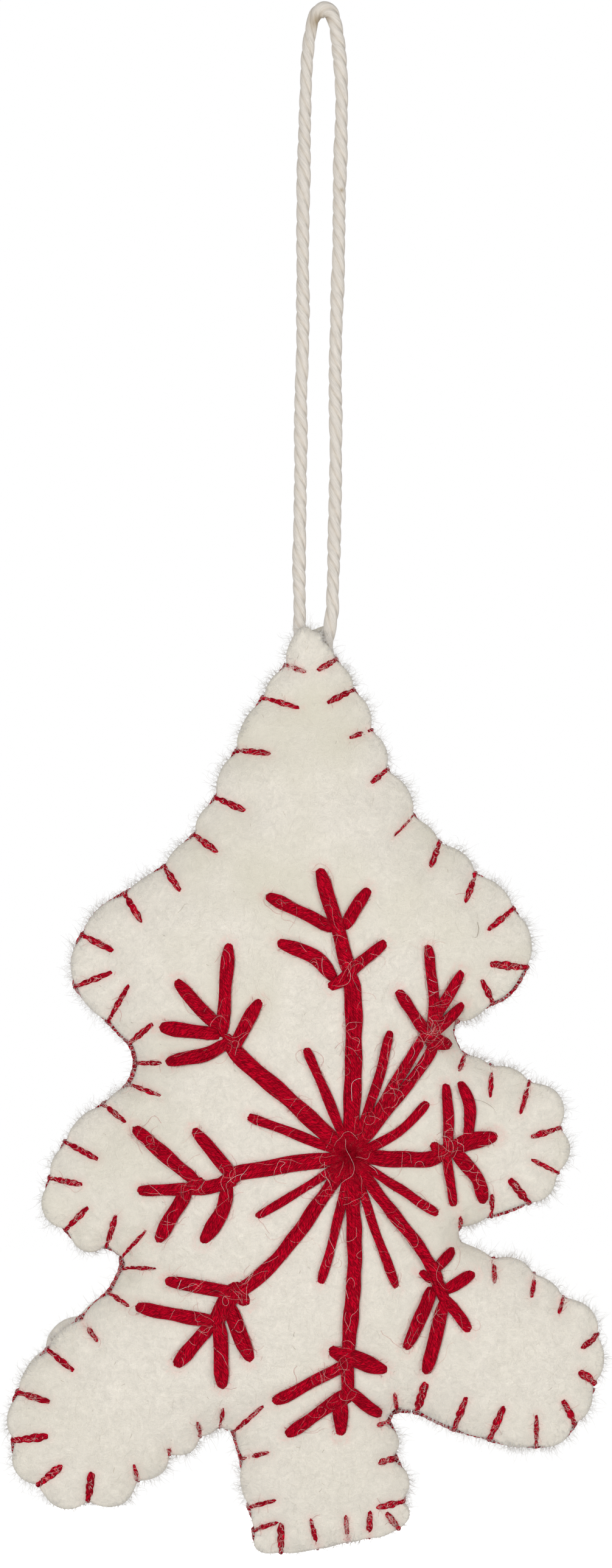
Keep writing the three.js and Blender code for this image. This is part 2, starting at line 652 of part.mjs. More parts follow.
function starCutter(radius) {
  const depth = 2 * (rimHalf + CROWN_HEIGHT + STEM_WIDTH);
  const geometry = new THREE.CylinderGeometry(radius, radius, depth, STAR_SIDES);
  return solidOf(geometry.translate(starCentre.x, 0, starCentre.y));
}

const starOuter = starCutter(STAR_RADIUS + FIT_GAP);
const starInner = starCutter(STAR_RADIUS);

function armSolid(k) {
  let solid = solidOf(stitchTube(armStemShares[k], STEM_WIDTH, 1));
  armBarbShares[k].forEach((barb) => {
    solid = solid.add(solidOf(stitchTube([...barb].reverse(), BARB_WIDTH, 1)));
  });
  return solid;
}

function raySolid(tip) {
  return solidOf(stitchTube([starCentreShares, tip], RAY_WIDTH, 1));
}

const arms = armStemShares.map((stem, k) => armSolid(k));
const rays = rayTipShares.map(raySolid);

function snowflakeCentre() {
  const whole = [...arms, ...rays].reduce((joined, solid) => joined.add(solid));
  return geometryOf(whole.intersect(starInner));
}

// Assembly

const materials = {
  felt: new THREE.MeshStandardMaterial({ color: COLOURS.felt, roughness: 0.95, metalness: 0 }),
  thread: new THREE.MeshStandardMaterial({ color: COLOURS.thread, roughness: 0.7, metalness: 0 }),
  cord: new THREE.MeshStandardMaterial({ color: COLOURS.cord, roughness: 0.85, metalness: 0 }),
  filling: new THREE.MeshStandardMaterial({ color: COLOURS.filling, roughness: 1, metalness: 0 }),
};

function piece(name, geometry, material) {
  const mesh = new THREE.Mesh(geometry, material.clone());
  mesh.name = name;
  return mesh;
}

const ornament = new THREE.Group();
const tree = new THREE.Group();
const embroidery = new THREE.Group();
const loop = new THREE.Group();

tree.add(piece('front_felt', feltPanel(-1), materials.felt));
tree.add(piece('back_felt', feltPanel(1), materials.felt));
tree.add(piece('filling', fillingBody(), materials.filling));
tree.add(piece('loop_tail_left', cordTube(LEFT_TAIL_ROUTE, CORD_RADIUS), materials.cord));
tree.add(piece('loop_tail_right', cordTube(RIGHT_TAIL_ROUTE, CORD_RADIUS), materials.cord));
Object.keys(outlineShares).filter((section) => !sectionsWithoutThread.includes(section)).forEach((section) => {
  tree.add(piece(`edge_stitching_${section}`, edgeStitching(section), materials.thread));
});

embroidery.add(piece('snowflake_centre', snowflakeCentre(), materials.thread));
arms.forEach((solid, k) => {
  embroidery.add(piece(`snowflake_arm_${k + 1}`, geometryOf(solid.subtract(starOuter)), materials.thread));
});
rays.forEach((solid, k) => {
  embroidery.add(piece(`snowflake_ray_${k + 1}`, geometryOf(solid.subtract(starOuter)), materials.thread));
});

loop.add(piece('hanging_loop', cordTube(CORD_ROUTE, CORD_RADIUS), materials.cord));

tree.add(embroidery);
ornament.add(tree, loop);

export default ornament;
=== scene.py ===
"""Felt tree ornament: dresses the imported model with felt, thread and cord, and sets the stage."""

import json
import math

import bpy
import numpy as np
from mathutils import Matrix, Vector
from mathutils.bvhtree import BVHTree
from mathutils.geometry import delaunay_2d_cdt

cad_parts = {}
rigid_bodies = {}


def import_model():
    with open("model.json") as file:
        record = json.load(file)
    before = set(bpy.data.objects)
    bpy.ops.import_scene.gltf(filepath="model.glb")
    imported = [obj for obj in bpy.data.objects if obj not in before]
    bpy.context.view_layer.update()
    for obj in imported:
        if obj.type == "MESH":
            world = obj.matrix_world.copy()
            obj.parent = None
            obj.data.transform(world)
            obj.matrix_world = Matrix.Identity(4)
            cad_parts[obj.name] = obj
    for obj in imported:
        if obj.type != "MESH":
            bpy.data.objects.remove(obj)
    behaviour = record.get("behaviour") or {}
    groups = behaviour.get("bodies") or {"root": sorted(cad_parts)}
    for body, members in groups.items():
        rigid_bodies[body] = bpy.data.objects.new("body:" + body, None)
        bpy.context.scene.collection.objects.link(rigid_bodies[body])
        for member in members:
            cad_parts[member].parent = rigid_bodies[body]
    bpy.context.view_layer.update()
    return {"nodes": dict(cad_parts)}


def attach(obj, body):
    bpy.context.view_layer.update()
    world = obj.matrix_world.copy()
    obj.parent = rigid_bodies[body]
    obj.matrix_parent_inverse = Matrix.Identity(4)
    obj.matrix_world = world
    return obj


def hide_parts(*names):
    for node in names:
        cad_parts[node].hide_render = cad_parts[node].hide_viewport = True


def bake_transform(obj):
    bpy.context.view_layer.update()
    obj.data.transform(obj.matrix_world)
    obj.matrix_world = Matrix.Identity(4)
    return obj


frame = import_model()

bl_info = {
    "name": "Felt Tree Ornament",
    "version": (1, 0, 0),
    "blender": (4, 5, 0),
    "location": "3D View > Sidebar > Ornament",
    "description": "Builds a stuffed felt tree with an embroidered snowflake and a cord loop",
    "category": "Add Mesh",
}

IMAGE_WIDTH = 1006
IMAGE_HEIGHT = 2576

# A millimetre in metres, and how much of the tree one pixel of the photo shows
MM = 0.001
PIXEL_SIZE = 0.1 * MM
# The pixel at the origin, which is the inside of the loop's top
ORIGIN_PIXEL = (532, 30)
# The pattern: the side of a square in millimetres, how far its first row lies below the origin, and
# the column that hangs straight below it
SQUARE = 10.0
LOOP_DROP = 97.0
HANGING_COLUMN = 5.32

# The tree's edge in pattern squares, down the left side, along the foot and up the right. A row holds
# a stitch's place on the edge, the fullest point of the edge up to the next stitch, the inner end of
# the stitch's leg, and how wide the leg shows in millimetres. A row without a leg only shapes the edge.
OUTLINE = {
    "left_top": [
        (4.67, 0.91, 4.47, 1.13, 5.00, 1.04, 0.7),
        (4.29, 1.45, 4.00, 1.87, 4.90, 1.63, 0.8),
        (3.86, 2.32, 3.63, 2.65, 4.43, 2.38, 0.9),
        (3.52, 3.09, 3.29, 3.37, 4.01, 3.31, 1.0),
        (3.17, 3.70, 2.87, 3.93, 3.56, 3.98, 1.0),
        (2.68, 4.21, 2.34, 4.40, 2.95, 4.61, 1.0),
    ],
    "left_upper_branch": [
        (2.03, 4.65, 1.58, 4.92, 2.32, 5.12, 1.0),
        (1.32, 5.34, 1.14, 5.76, 1.84, 5.60, 1.0),
        (1.21, 6.22, 1.43, 6.55, 1.83, 5.97, 0.9),
        (1.76, 6.81, 1.93, 7.01, 2.12, 6.18, 0.8),
        (2.10, 7.16, 2.16, 7.30, 2.50, 6.82, 0.9),
    ],
    "left_middle_branch": [
        (2.19, 7.46, 2.15, 7.63, 2.65, 7.45, 0.7),
        (2.08, 7.79, 1.89, 7.92, 2.64, 7.98, 0.7),
        (1.68, 8.11, 1.32, 8.36, 2.06, 8.41, 0.8),
        (1.05, 8.74, 0.88, 9.01, 1.60, 9.02, 0.9),
        (0.79, 9.34, 0.70, 9.88, 1.34, 9.44, 0.9),
        (1.06, 10.22, 1.36, 10.54, 1.44, 9.83, 0.9),
        (1.75, 10.50, 1.87, 10.60, 1.91, 9.96, 0.9),
    ],
    "left_lower_branch": [
        (1.97, 10.68, 1.99, 10.75, 2.40, 10.20, 0.6),
        (1.96, 10.81, 1.87, 11.00, 2.56, 10.81, 0.6),
        (1.76, 11.20, 1.53, 11.37, 2.12, 11.43, 0.7),
        (1.32, 11.61, 1.01, 11.84, 1.60, 12.00, 0.8),
        (0.76, 12.14, 0.47, 12.44, 1.20, 12.48, 0.9),
        (0.26, 12.85, 0.12, 13.26, 0.80, 13.00, 1.0),
        (0.19, 13.66, 0.25, 14.15, 0.77, 13.57, 1.2),
    ],
    "left_lower_foot": [
        (0.61, 14.41, 1.00, 14.77, 1.00, 14.07, 1.2),
        (1.45, 14.67, 1.97, 14.72, 1.51, 14.20, 1.2),
        (2.28, 14.34, 2.66, 14.20, 2.21, 14.05, 0.6),
        (2.81, 13.91, 3.14, 13.85, 2.78, 13.79, 0.6),
        (3.31, 13.61, 3.47, 13.56, 3.25, 13.35, 0.6),
        (3.62, 13.47, 3.71, 13.52, 3.67, 13.12, 0.6),
    ],
    "trunk_left": [
        (3.81, 13.54, 3.85, 13.74, 4.32, 13.07, 0.7),
        (3.93, 13.96, 3.95, 14.34, 4.41, 13.83, 0.7),
        (4.06, 14.76, 4.10, 14.95, 4.52, 14.62, 0.7),
        (4.14, 15.13, 4.22, 15.45, 4.55, 14.99, 0.7),
    ],
    "trunk_foot": [
        (4.62, 15.52, 4.92, 15.50, 4.62, 15.03, 1.1),
        (5.23, 15.46, 5.47, 15.40, 5.11, 14.94, 0.7),
        (5.72, 15.35, 5.90, 15.32, 5.68, 14.89, 0.7),
        (6.06, 15.28, 6.32, 15.23, 6.08, 14.83, 0.9),
        (6.57, 15.13, 6.74, 14.88, 6.37, 14.86, 1.0),
    ],
    "trunk_right": [
        (6.66, 14.65, 6.72, 14.27, 6.22, 14.74, 1.0),
        (6.51, 13.94, 6.56, 13.62, 6.25, 14.00, 1.0),
        (6.42, 13.34, 6.46, 13.26, 6.21, 13.39, 0.8),
        (6.53, 13.19, 6.67, 13.22, 6.48, 12.87, 0.6),
    ],
    "right_lower_foot": [
        (6.83, 13.22, 7.14, 13.38, 6.98, 12.72, 1.3),
        (7.44, 13.51, 7.73, 13.61, 7.65, 12.95, 1.0),
        (8.03, 13.67, 8.40, 13.79, 8.26, 13.11, 1.1),
        (8.81, 13.79, 9.22, 13.73, 8.81, 13.24, 0.7),
        (9.47, 13.41, 9.70, 13.12, 9.26, 13.01, 1.0),
    ],
    "right_lower_branch": [
        (9.80, 12.72, 9.93, 12.32, 9.54, 12.53, 1.2),
        (9.84, 11.91, 9.71, 11.51, 9.58, 12.11, 1.0),
        (9.27, 11.29, 9.05, 11.05, 9.18, 11.55, 0.6),
        (8.79, 10.91, 8.49, 10.68, 8.73, 11.28, 0.7),
        (8.11, 10.65, 7.85, 10.51, 8.12, 11.04, 0.7),
    ],
    "right_middle_branch": [
        (7.60, 10.38, 7.57, 10.28),
        (7.57, 10.18, 7.83, 10.10, 7.56, 9.98, 0.7),
        (8.08, 10.01, 8.40, 9.92, 8.08, 9.62, 0.7),
        (8.70, 9.78, 9.03, 9.62, 8.39, 9.38, 1.2),
        (9.19, 9.27, 9.37, 8.88, 8.74, 9.04, 0.7),
        (9.23, 8.52, 9.20, 8.00, 8.74, 8.66, 0.9),
        (8.71, 7.75, 8.43, 7.55, 8.55, 8.27, 0.7),
        (8.08, 7.48, 7.87, 7.35, 8.05, 8.00, 0.7),
        (7.65, 7.30, 7.56, 7.15, 7.54, 7.57, 0.7),
    ],
    "right_upper_branch": [
        (7.49, 6.98, 7.49, 6.89),
        (7.54, 6.81, 7.82, 6.71, 7.49, 6.78, 0.8),
        (8.12, 6.51, 8.44, 6.31, 7.92, 6.11, 0.9),
        (8.68, 5.90, 8.72, 5.37, 8.08, 5.83, 1.2),
        (8.46, 4.91, 8.22, 4.56, 8.03, 5.26, 0.9),
        (7.83, 4.32, 7.62, 4.02, 7.65, 4.80, 0.9),
    ],
    "right_top": [
        (7.24, 3.81, 7.06, 3.58, 7.08, 4.22, 0.9),
        (6.82, 3.38, 6.70, 2.96, 6.48, 3.73, 0.4),
        (6.39, 2.63, 6.33, 2.25, 6.11, 2.85, 0.8),
        (6.13, 1.98, 6.05, 1.60, 5.76, 2.12, 0.7),
        (5.84, 1.32, 5.74, 1.05, 5.40, 1.54, 0.9),
        (5.55, 0.82, 5.52, 0.73, 5.25, 1.00, 0.9),
    ],
    "tip": [
        (5.48, 0.63, 5.43, 0.46),
        (5.30, 0.34, 5.18, 0.37),
        (5.05, 0.34, 4.93, 0.34),
        (4.84, 0.43, 4.73, 0.65),
    ],
}
SECTIONS_WITHOUT_THREAD = ("tip",)
# Width of a leg from its inner end, 0, to the edge, 1, as a share of how wide it shows
LEG_SPINDLE = ((0.0, 0.12, 0.3, 0.5, 0.68, 0.8, 0.9, 1.0), (0.3, 0.65, 1.08, 1.12, 0.87, 0.66, 0.65, 0.9))
# Legs that the felt closes over for a part of their length, as shares from the inner end to the edge
HIDDEN_LEGS = {
    ("left_lower_branch", 3): (0.45, 0.85),
    ("left_top", 0): (0.4, 0.62),
    ("right_lower_branch", 3): (0.82, 1.0),
    ("right_lower_branch", 4): (0.75, 1.0),
    ("right_middle_branch", 7): (0.8, 1.0),
    ("right_top", 3): (0.52, 0.95),
    ("trunk_foot", 1): (0.72, 1.0),
    ("trunk_foot", 2): (0.6, 1.0),
    ("trunk_foot", 3): (0.78, 1.0),
    ("trunk_left", 1): (0.48, 0.71),
}
# Legs with more of the felt's hairs caught on them than on the others, and how many more
HAIRY_LEGS = {
    ("left_top", 0): 70, ("left_lower_branch", 3): 25, ("left_lower_foot", 4): 20, ("right_top", 5): 14,
    ("trunk_foot", 2): 60, ("trunk_foot", 4): 30, ("trunk_left", 0): 25,
}
# How far the thread shows along the edge from one row to the next, from 0, hidden, to 1, all of it
OPEN_RUNS = {
    "left_top": {4: 0.3, 5: 0.4},
    "left_upper_branch": {0: 0.42, 1: 0.41, 2: 0.38, 3: 0.75, 4: 0.95},
    "left_middle_branch": {0: 0.95, 1: 0.35, 6: 0.35},
    "left_lower_branch": {0: 0.9, 1: 0.85, 2: 0.5},
    "left_lower_foot": {5: 0.5},
    "trunk_left": {0: 0.75},
    "trunk_right": {2: 0.5, 3: 0.9},
    "right_lower_foot": {0: 0.8, 1: 0.58, 2: 0.48, 3: 0.42},
    "right_middle_branch": {0: 0.4, 2: 0.8, 7: 0.35, 8: 0.5},
    "right_upper_branch": {0: 0.5, 2: 0.85},
}

# How much of the thread shows where it turns round the edge at a stitch, where not all of it does
FOOT_OPENNESS = {
    "left_top": 0.85, "left_middle_branch": 0.8, "left_lower_foot": 0.4, "right_lower_branch": 0.45,
    "right_middle_branch": 0.5, "right_upper_branch": 0.7, "right_top": 0.6, "trunk_foot": 0.4,
}

# The snowflake's stitches in pattern squares: width in millimetres, then the places from base to tip
SNOWFLAKE = {
    "snowflake_arm_1": [
        (2.8, (5.75, 8.86), (5.80, 7.28), (5.79, 6.30), (5.72, 5.88)),
        (2.4, (5.75, 6.02), (5.58, 5.37), (5.25, 4.28)),
        (2.1, (5.47, 5.24), (4.40, 4.71)),
        (2.2, (5.64, 5.23), (6.05, 4.60)),
        (2.4, (5.48, 6.06), (5.20, 5.72), (4.58, 5.47)),
        (2.0, (5.42, 6.20), (5.62, 6.08), (5.78, 5.92), (6.32, 5.47)),
    ],
    "snowflake_arm_2": [
        (1.8, (5.81, 8.88), (6.85, 7.17), (7.00, 6.93)),
        (1.8, (5.82, 8.88), (7.06, 7.28), (7.12, 7.05)),
        (2.0, (6.98, 6.95), (6.53, 6.26)),
        (1.8, (7.07, 6.82), (7.11, 6.40), (7.02, 5.52)),
        (2.0, (7.02, 6.88), (7.58, 5.95)),
        (2.2, (7.00, 7.04), (7.20, 6.86), (7.59, 6.48)),
        (2.8, (7.00, 7.08), (7.38, 7.15)),
        (2.4, (6.93, 6.86), (7.13, 7.14)),
    ],
    "snowflake_arm_3": [
        (2.6, (5.86, 8.97), (7.00, 9.01), (7.32, 8.94)),
        (2.9, (7.36, 8.86), (7.60, 8.76), (8.13, 8.65)),
        (1.6, (7.30, 8.86), (7.45, 9.78)),
        (2.3, (7.42, 8.86), (7.62, 9.08), (7.84, 9.36), (7.94, 9.73)),
        (1.9, (7.66, 8.80), (7.71, 8.19), (7.56, 7.77)),
        (2.6, (7.12, 8.90), (7.48, 8.90)),
        (1.8, (7.33, 8.98), (7.36, 8.40), (7.31, 7.80)),
        (2.0, (7.10, 8.76), (7.26, 8.98)),
    ],
    "snowflake_arm_4": [
        (2.0, (5.82, 9.06), (6.45, 9.91), (6.84, 10.40), (7.22, 11.02)),
        (2.2, (7.08, 10.78), (7.32, 11.42)),
        (1.8, (7.15, 10.84), (7.43, 10.50)),
        (2.0, (7.28, 11.18), (7.77, 10.90)),
        (2.2, (7.10, 11.14), (6.67, 12.11)),
        (2.2, (7.29, 11.32), (7.00, 12.51)),
        (2.0, (7.32, 11.30), (7.70, 11.83)),
        (1.8, (7.08, 11.00), (6.90, 10.86)),
    ],
    "snowflake_arm_5": [
        (2.4, (5.75, 9.08), (5.82, 10.57), (5.77, 11.50), (5.70, 12.26)),
        (2.2, (5.70, 12.26), (5.70, 13.00)),
        (2.7, (5.44, 12.13), (5.64, 12.21), (6.33, 12.47)),
        (2.0, (5.68, 12.36), (4.50, 12.99)),
        (2.0, (5.66, 12.76), (6.24, 13.22)),
        (2.2, (5.68, 12.84), (4.72, 13.53)),
        (2.6, (5.58, 12.90), (5.60, 13.52)),
    ],
    "snowflake_arm_6": [
        (2.3, (5.69, 9.06), (4.99, 10.08), (4.50, 10.70), (3.80, 11.30)),
        (3.0, (3.92, 11.06), (3.46, 11.80)),
        (2.2, (3.92, 11.20), (2.75, 11.01)),
        (2.2, (3.64, 11.69), (2.26, 11.45)),
        (2.4, (3.50, 11.68), (2.90, 12.39)),
        (2.4, (3.62, 11.66), (3.66, 12.75)),
        (2.6, (3.76, 11.36), (4.12, 12.30)),
        (3.0, (3.80, 11.10), (4.07, 11.36)),
    ],
    "snowflake_arm_7": [
        (2.6, (5.64, 8.98), (4.70, 9.10), (3.70, 9.28)),
        (2.2, (3.88, 9.37), (3.10, 9.54)),
        (2.0, (3.18, 9.50), (2.29, 9.53)),
        (2.2, (3.24, 9.38), (2.22, 8.52)),
        (2.2, (3.86, 9.30), (3.20, 8.53)),
        (2.4, (3.12, 9.48), (2.61, 10.35)),
        (2.5, (3.76, 9.44), (3.66, 9.87), (3.34, 10.36)),
        (2.6, (3.98, 9.24), (3.60, 9.40)),
        (2.3, (3.36, 9.38), (3.04, 9.50)),
    ],
    "snowflake_arm_8": [
        (2.7, (5.67, 8.89), (4.70, 7.98), (4.05, 7.43), (3.70, 7.06)),
        (2.2, (3.66, 7.00), (3.77, 5.50)),
        (2.2, (3.80, 7.26), (4.27, 6.42)),
        (2.2, (3.60, 6.86), (2.91, 6.11)),
        (2.4, (3.62, 6.97), (2.66, 6.86)),
        (2.2, (3.80, 7.08), (3.40, 7.30), (2.76, 7.43)),
        (2.4, (3.72, 7.00), (3.97, 7.42)),
    ],
    "snowflake_ray_1": [(1.6, (5.71, 8.87), (5.40, 8.05), (5.03, 7.20))],
    "snowflake_ray_2": [(1.6, (5.79, 8.87), (6.15, 7.90), (6.41, 6.92))],
    "snowflake_ray_3": [(1.6, (5.85, 8.92), (6.50, 8.60), (7.02, 8.09))],
    "snowflake_ray_4": [(1.5, (5.84, 9.03), (6.60, 9.52), (7.18, 9.92))],
    "snowflake_ray_5": [(1.5, (5.79, 9.07), (6.20, 10.30), (6.51, 11.12))],
    "snowflake_ray_6": [(1.5, (5.73, 9.08), (5.50, 10.20), (5.27, 11.04))],
    "snowflake_ray_7": [(1.4, (5.66, 9.03), (5.00, 9.48), (4.22, 9.95))],
    "snowflake_ray_8": [(1.6, (5.65, 8.93), (4.90, 8.62), (4.08, 8.31))],
    "snowflake_centre": [
        (1.5, (5.60, 8.86), (5.74, 8.95), (5.88, 9.10)),
        (1.4, (5.86, 8.84), (5.76, 8.98), (5.62, 9.08)),
    ],
}
SNOWFLAKE_CENTRE = (5.75, 8.97)

# Places where one felt's edge lies further out or in than the other's: place, distance and radius
FRONT_NUDGES = [((5.41, 0.47), -1.5, 1.7), ((5.04, 0.32), 0.45, 1.0)]
BACK_NUDGES = [((5.28, 0.33), 0.6, 1.5), ((0.95, 11.78), 1.1, 5.5)]

# Single pale hairs across the red stitches, and curled dark ones on the felt, in pattern squares
PALE_HAIRS = [
    [(2.15, 8.70), (2.24, 8.69), (2.33, 8.73), (2.39, 8.80), (2.37, 8.93)],
    [(2.47, 9.44), (2.58, 9.52), (2.69, 9.65), (2.74, 9.80), (2.70, 9.93), (2.63, 10.06)],
    [(2.56, 10.22), (2.59, 10.28), (2.70, 10.32)],
    [(3.74, 9.39), (3.85, 9.30), (3.98, 9.25), (4.06, 9.25)],
    [(3.97, 9.42), (3.96, 9.30), (4.05, 9.19), (4.11, 9.11)],
    [(4.60, 9.04), (4.69, 9.06), (4.61, 9.15), (4.64, 9.26)],
    [(4.18, 10.83), (4.29, 10.73), (4.44, 10.67), (4.59, 10.58)],
    [(4.18, 10.83), (4.13, 10.93), (4.04, 11.04), (3.96, 11.02)],
    [(2.99, 10.98), (2.94, 11.15), (3.05, 11.11), (3.25, 11.05)],
    [(3.19, 11.15), (3.13, 11.22), (3.07, 11.25)],
    [(5.68, 8.68), (5.68, 8.83), (5.76, 8.99), (5.82, 9.14), (5.79, 9.27), (5.62, 9.39), (5.54, 9.55),
     (5.58, 9.77)],
    [(5.33, 9.05), (5.35, 9.27), (5.43, 9.42), (5.45, 9.53)],
    [(6.07, 9.11), (6.16, 9.18), (6.21, 9.27)],
    [(5.30, 5.70), (5.29, 5.86), (5.33, 6.01), (5.41, 6.09)],
    [(5.72, 5.89), (5.76, 6.01), (5.72, 6.13), (5.59, 6.18), (5.45, 6.17)],
    [(5.65, 6.94), (5.72, 6.79), (5.87, 6.77), (5.98, 6.79)],
    [(5.78, 8.06), (5.79, 7.75), (5.93, 7.69), (5.97, 7.81), (5.92, 7.93)],
    [(5.53, 10.67), (5.50, 10.51), (5.41, 10.29), (5.44, 10.17)],
    [(5.72, 11.29), (5.68, 11.07), (5.76, 10.94), (5.82, 11.01), (5.81, 11.10)],
    [(6.83, 9.83), (6.86, 9.73), (6.96, 9.67), (7.05, 9.73), (7.02, 9.83), (6.89, 9.84)],
    [(6.54, 6.27), (6.68, 6.32), (6.66, 6.37), (6.71, 6.45)],
    [(7.04, 5.71), (7.15, 5.71), (7.20, 5.68)],
    [(7.04, 6.07), (7.12, 6.11), (7.19, 6.13)],
    [(7.04, 6.26), (7.13, 6.29), (7.21, 6.26)],
    [(7.62, 5.99), (7.64, 6.11), (7.53, 6.18), (7.41, 6.27)],
    [(7.04, 6.69), (7.11, 6.77), (7.08, 6.88), (7.15, 6.98)],
    [(6.86, 7.02), (6.78, 7.17), (6.81, 7.26), (6.71, 7.45)],
    [(7.04, 7.47), (6.97, 7.54), (6.89, 7.49), (6.82, 7.59), (6.78, 7.66), (6.68, 7.75)],
    [(7.62, 8.48), (7.58, 8.58), (7.74, 8.60)],
    [(8.02, 8.69), (8.07, 8.77), (8.00, 8.79), (7.84, 8.80)],
    [(7.51, 8.74), (7.60, 8.79), (7.61, 8.91)],
]
DARK_CURLS = [
    [(7.84, 5.14), (7.86, 5.26), (7.82, 5.39), (7.75, 5.38)],
    [(7.77, 8.04), (7.93, 8.08), (8.09, 8.18), (8.15, 8.28)],
]
# The longest of the plain dark hairs: its place in pattern squares, length and heading
LONG_DARK_HAIR = ((3.02, 4.9), 2.6, 0.5)

# The cord's route in metres: up from between the felts on the left, over, and down on the right
CORD_ROUTE = [
    (-0.00415, 0.0, -0.112), (-0.00395, 0.0, -0.103), (-0.00395, 0.0, -0.098),
    (-0.00395, 0.0, -0.09575), (-0.004, 0.0, -0.0935), (-0.00405, 0.0001, -0.09),
    (-0.00395, 0.0002, -0.085), (-0.00385, 0.0003, -0.078), (-0.00375, 0.0003, -0.07),
    (-0.00375, 0.0001, -0.062), (-0.0035, -0.0001, -0.056), (-0.0034, -0.0002, -0.048),
    (-0.00345, -0.0002, -0.039), (-0.00335, -0.0001, -0.029), (-0.00315, 0.0, -0.019),
    (-0.00295, 0.0, -0.012), (-0.0027, 0.0, -0.0065), (-0.0022, 0.0, -0.0024),
    (-0.0017, 0.0, -0.0003), (-0.00107, 0.0, 0.00092), (0.00005, 0.0, 0.0014),
    (0.00115, 0.0, 0.00092), (0.00172, 0.0, -0.0003), (0.00215, 0.0, -0.0024),
    (0.00262, 0.0, -0.0065), (0.00295, 0.0, -0.012), (0.00285, -0.0001, -0.019),
    (0.00258, -0.0002, -0.029), (0.00245, -0.0003, -0.039), (0.00215, -0.0003, -0.048),
    (0.0019, -0.0002, -0.058), (0.002, 0.0, -0.068), (0.00195, 0.0001, -0.076),
    (0.00175, 0.0001, -0.085), (0.00165, 0.0, -0.09), (0.0015, 0.0, -0.0935),
    (0.00145, 0.0, -0.09575), (0.0014, 0.0, -0.0975), (0.0002, 0.0, -0.1045),
    (-0.001, 0.0, -0.112),
]
# How thick the cord looks beside its top: millimetres along it and share of its usual thickness
CORD_SWELLS = (
    (-34.0, 1.0), (-24.0, 1.08), (-15.0, 0.88), (-8.5, 0.94), (-4.2, 0.94), (-2.4, 1.02), (-1.2, 1.22),
    (0.0, 1.45), (1.2, 1.22), (2.4, 1.05), (4.2, 0.98), (8.5, 1.08), (15.0, 0.98), (24.0, 1.05), (34.0, 1.0),
)
# Stains on the cord: place across and height in millimetres, reach and strength
CORD_STAINS = ((-0.9, -0.6, 1.3, 1.0), (0.3, -0.25, 0.8, 0.8), (3.0, -28.3, 0.35, 1.0))

# Lengths from here on are in millimetres. A ray starts further out than anything on the tree.
RAY_START = 60.0
# Distance between the points of the edge, and of the coarser edge that Cloth works on
EDGE_STEP = 0.7
CLOTH_EDGE_STEP = 2.4
# How far past a stitch's foot the thread still shows, below the stitch and above it
SHOWN_BELOW, SHOWN_ABOVE = 1.9, 0.7
# Depth and reach of the dents beside a stitch's leg and round the snowflake's centre
LEG_DENTS = ((0.8, 2.6), (0.35, 0.75))
CENTRE_DENTS = ((0.9, 4.0), (1.3, 1.7))
# How much shallower a leg's dent is at the edge, and how wide and deep the floss presses, as shares
DENT_LOSS_SHARE = 0.45
PRESS_WIDTH_SHARE, PRESS_DEPTH_SHARE = 0.75, 0.16
# The waves in the filling: their lengths, height as a share of the length, bend and random seed
FILLING_WAVES = (17, 13, 10, 8, 6.5, 5)
WAVE_HEIGHT_SHARE, WAVE_BEND, FILLING_SEED = 0.006, 1.3, 7
# How far the felt rises over the cord's hidden ends, how wide, and how far up the rise begins
CORD_RISE, CORD_RISE_WIDTH, CORD_RISE_RUN = 0.85, 1.5, 6
# Distance over which the felt's crown and its small lumps fade in from the edge
CROWN_RUN = 3
# Distance over which a dent fades in from the edge, and the share of it that is there at the edge
DENT_RUN, LEAST_DENT_SHARE = 0.8, 0.25
# Straight stretches of the cord's route that lie between the felts at each end
HIDDEN_STRETCHES = 4
# Hairs caught on a leg, before the extra ones of HAIRY_LEGS
LEG_HAIRS = 20
# Steps between two given points of a smooth line, and points compared with the edge at a time
CURVE_STEPS = 24
CHUNK = 2000
TINY = 1e-9
# Points nearer than this are one, triangles smaller than this are left out, and a ring's points keep
# at least this share of their inset from the edge
SAME_POINT, LEAST_AREA, RING_ROOM_SHARE = 1e-5, 1e-7, 0.92
# How often the thread's openness is evened out before the felt is pulled in by it
OPENNESS_PASSES = 2

# Points inside the outline: the insets of the rings along the edge and of the even field in the
# middle and, for Cloth, the field's step
FELT_RINGS, FELT_FIELD_INSET = (0.15, 0.45, 0.95), 1.5
CLOTH_RINGS, CLOTH_FIELD_INSET, CLOTH_STEP = (2.0,), 3.0, 2.3
# Cloth works on an enlarged pillow for some frames, and its points move no further than the limit
CLOTH_ENLARGED, CLOTH_FRAMES, CLOTH_LIMIT = 5.0, 20, 1.4
CLOTH_SETTINGS = {
    "quality": 6, "mass": 0.3, "tension_stiffness": 40, "compression_stiffness": 40, "shear_stiffness": 20,
    "bending_stiffness": 1.5, "air_damping": 2, "use_pressure": True, "uniform_pressure_force": 6,
}
SMOOTHING_PASSES = 3
# Where a ray onto the CAD solid starts, in metres
CAD_RAY_START = 0.1
# The cut edge's rounding: shares of the seam's inset and of half the felt's thickness
EDGE_ROUNDING = ((0.06, 0.66), (0.26, 0.33), (0.6, 0.1))
SEAM_RUN_SHARE = 4
LEAST_THICKNESS = 0.6
# The filling: how far in it is drawn at the edge, over what distance, and how much flatter it is
FILLING_DRAWN_IN, FILLING_RUN, FILLING_FLATNESS_SHARE = 3.2, 7, 0.9
# Red lint and a painted glow of red light on the felt: the most there is, and its reach beside a leg and
# beside the floss
LEG_LINT_AND_GLOW, FLOSS_LINT_AND_GLOW = (0.3, 0.9), (0.26, 0.5)

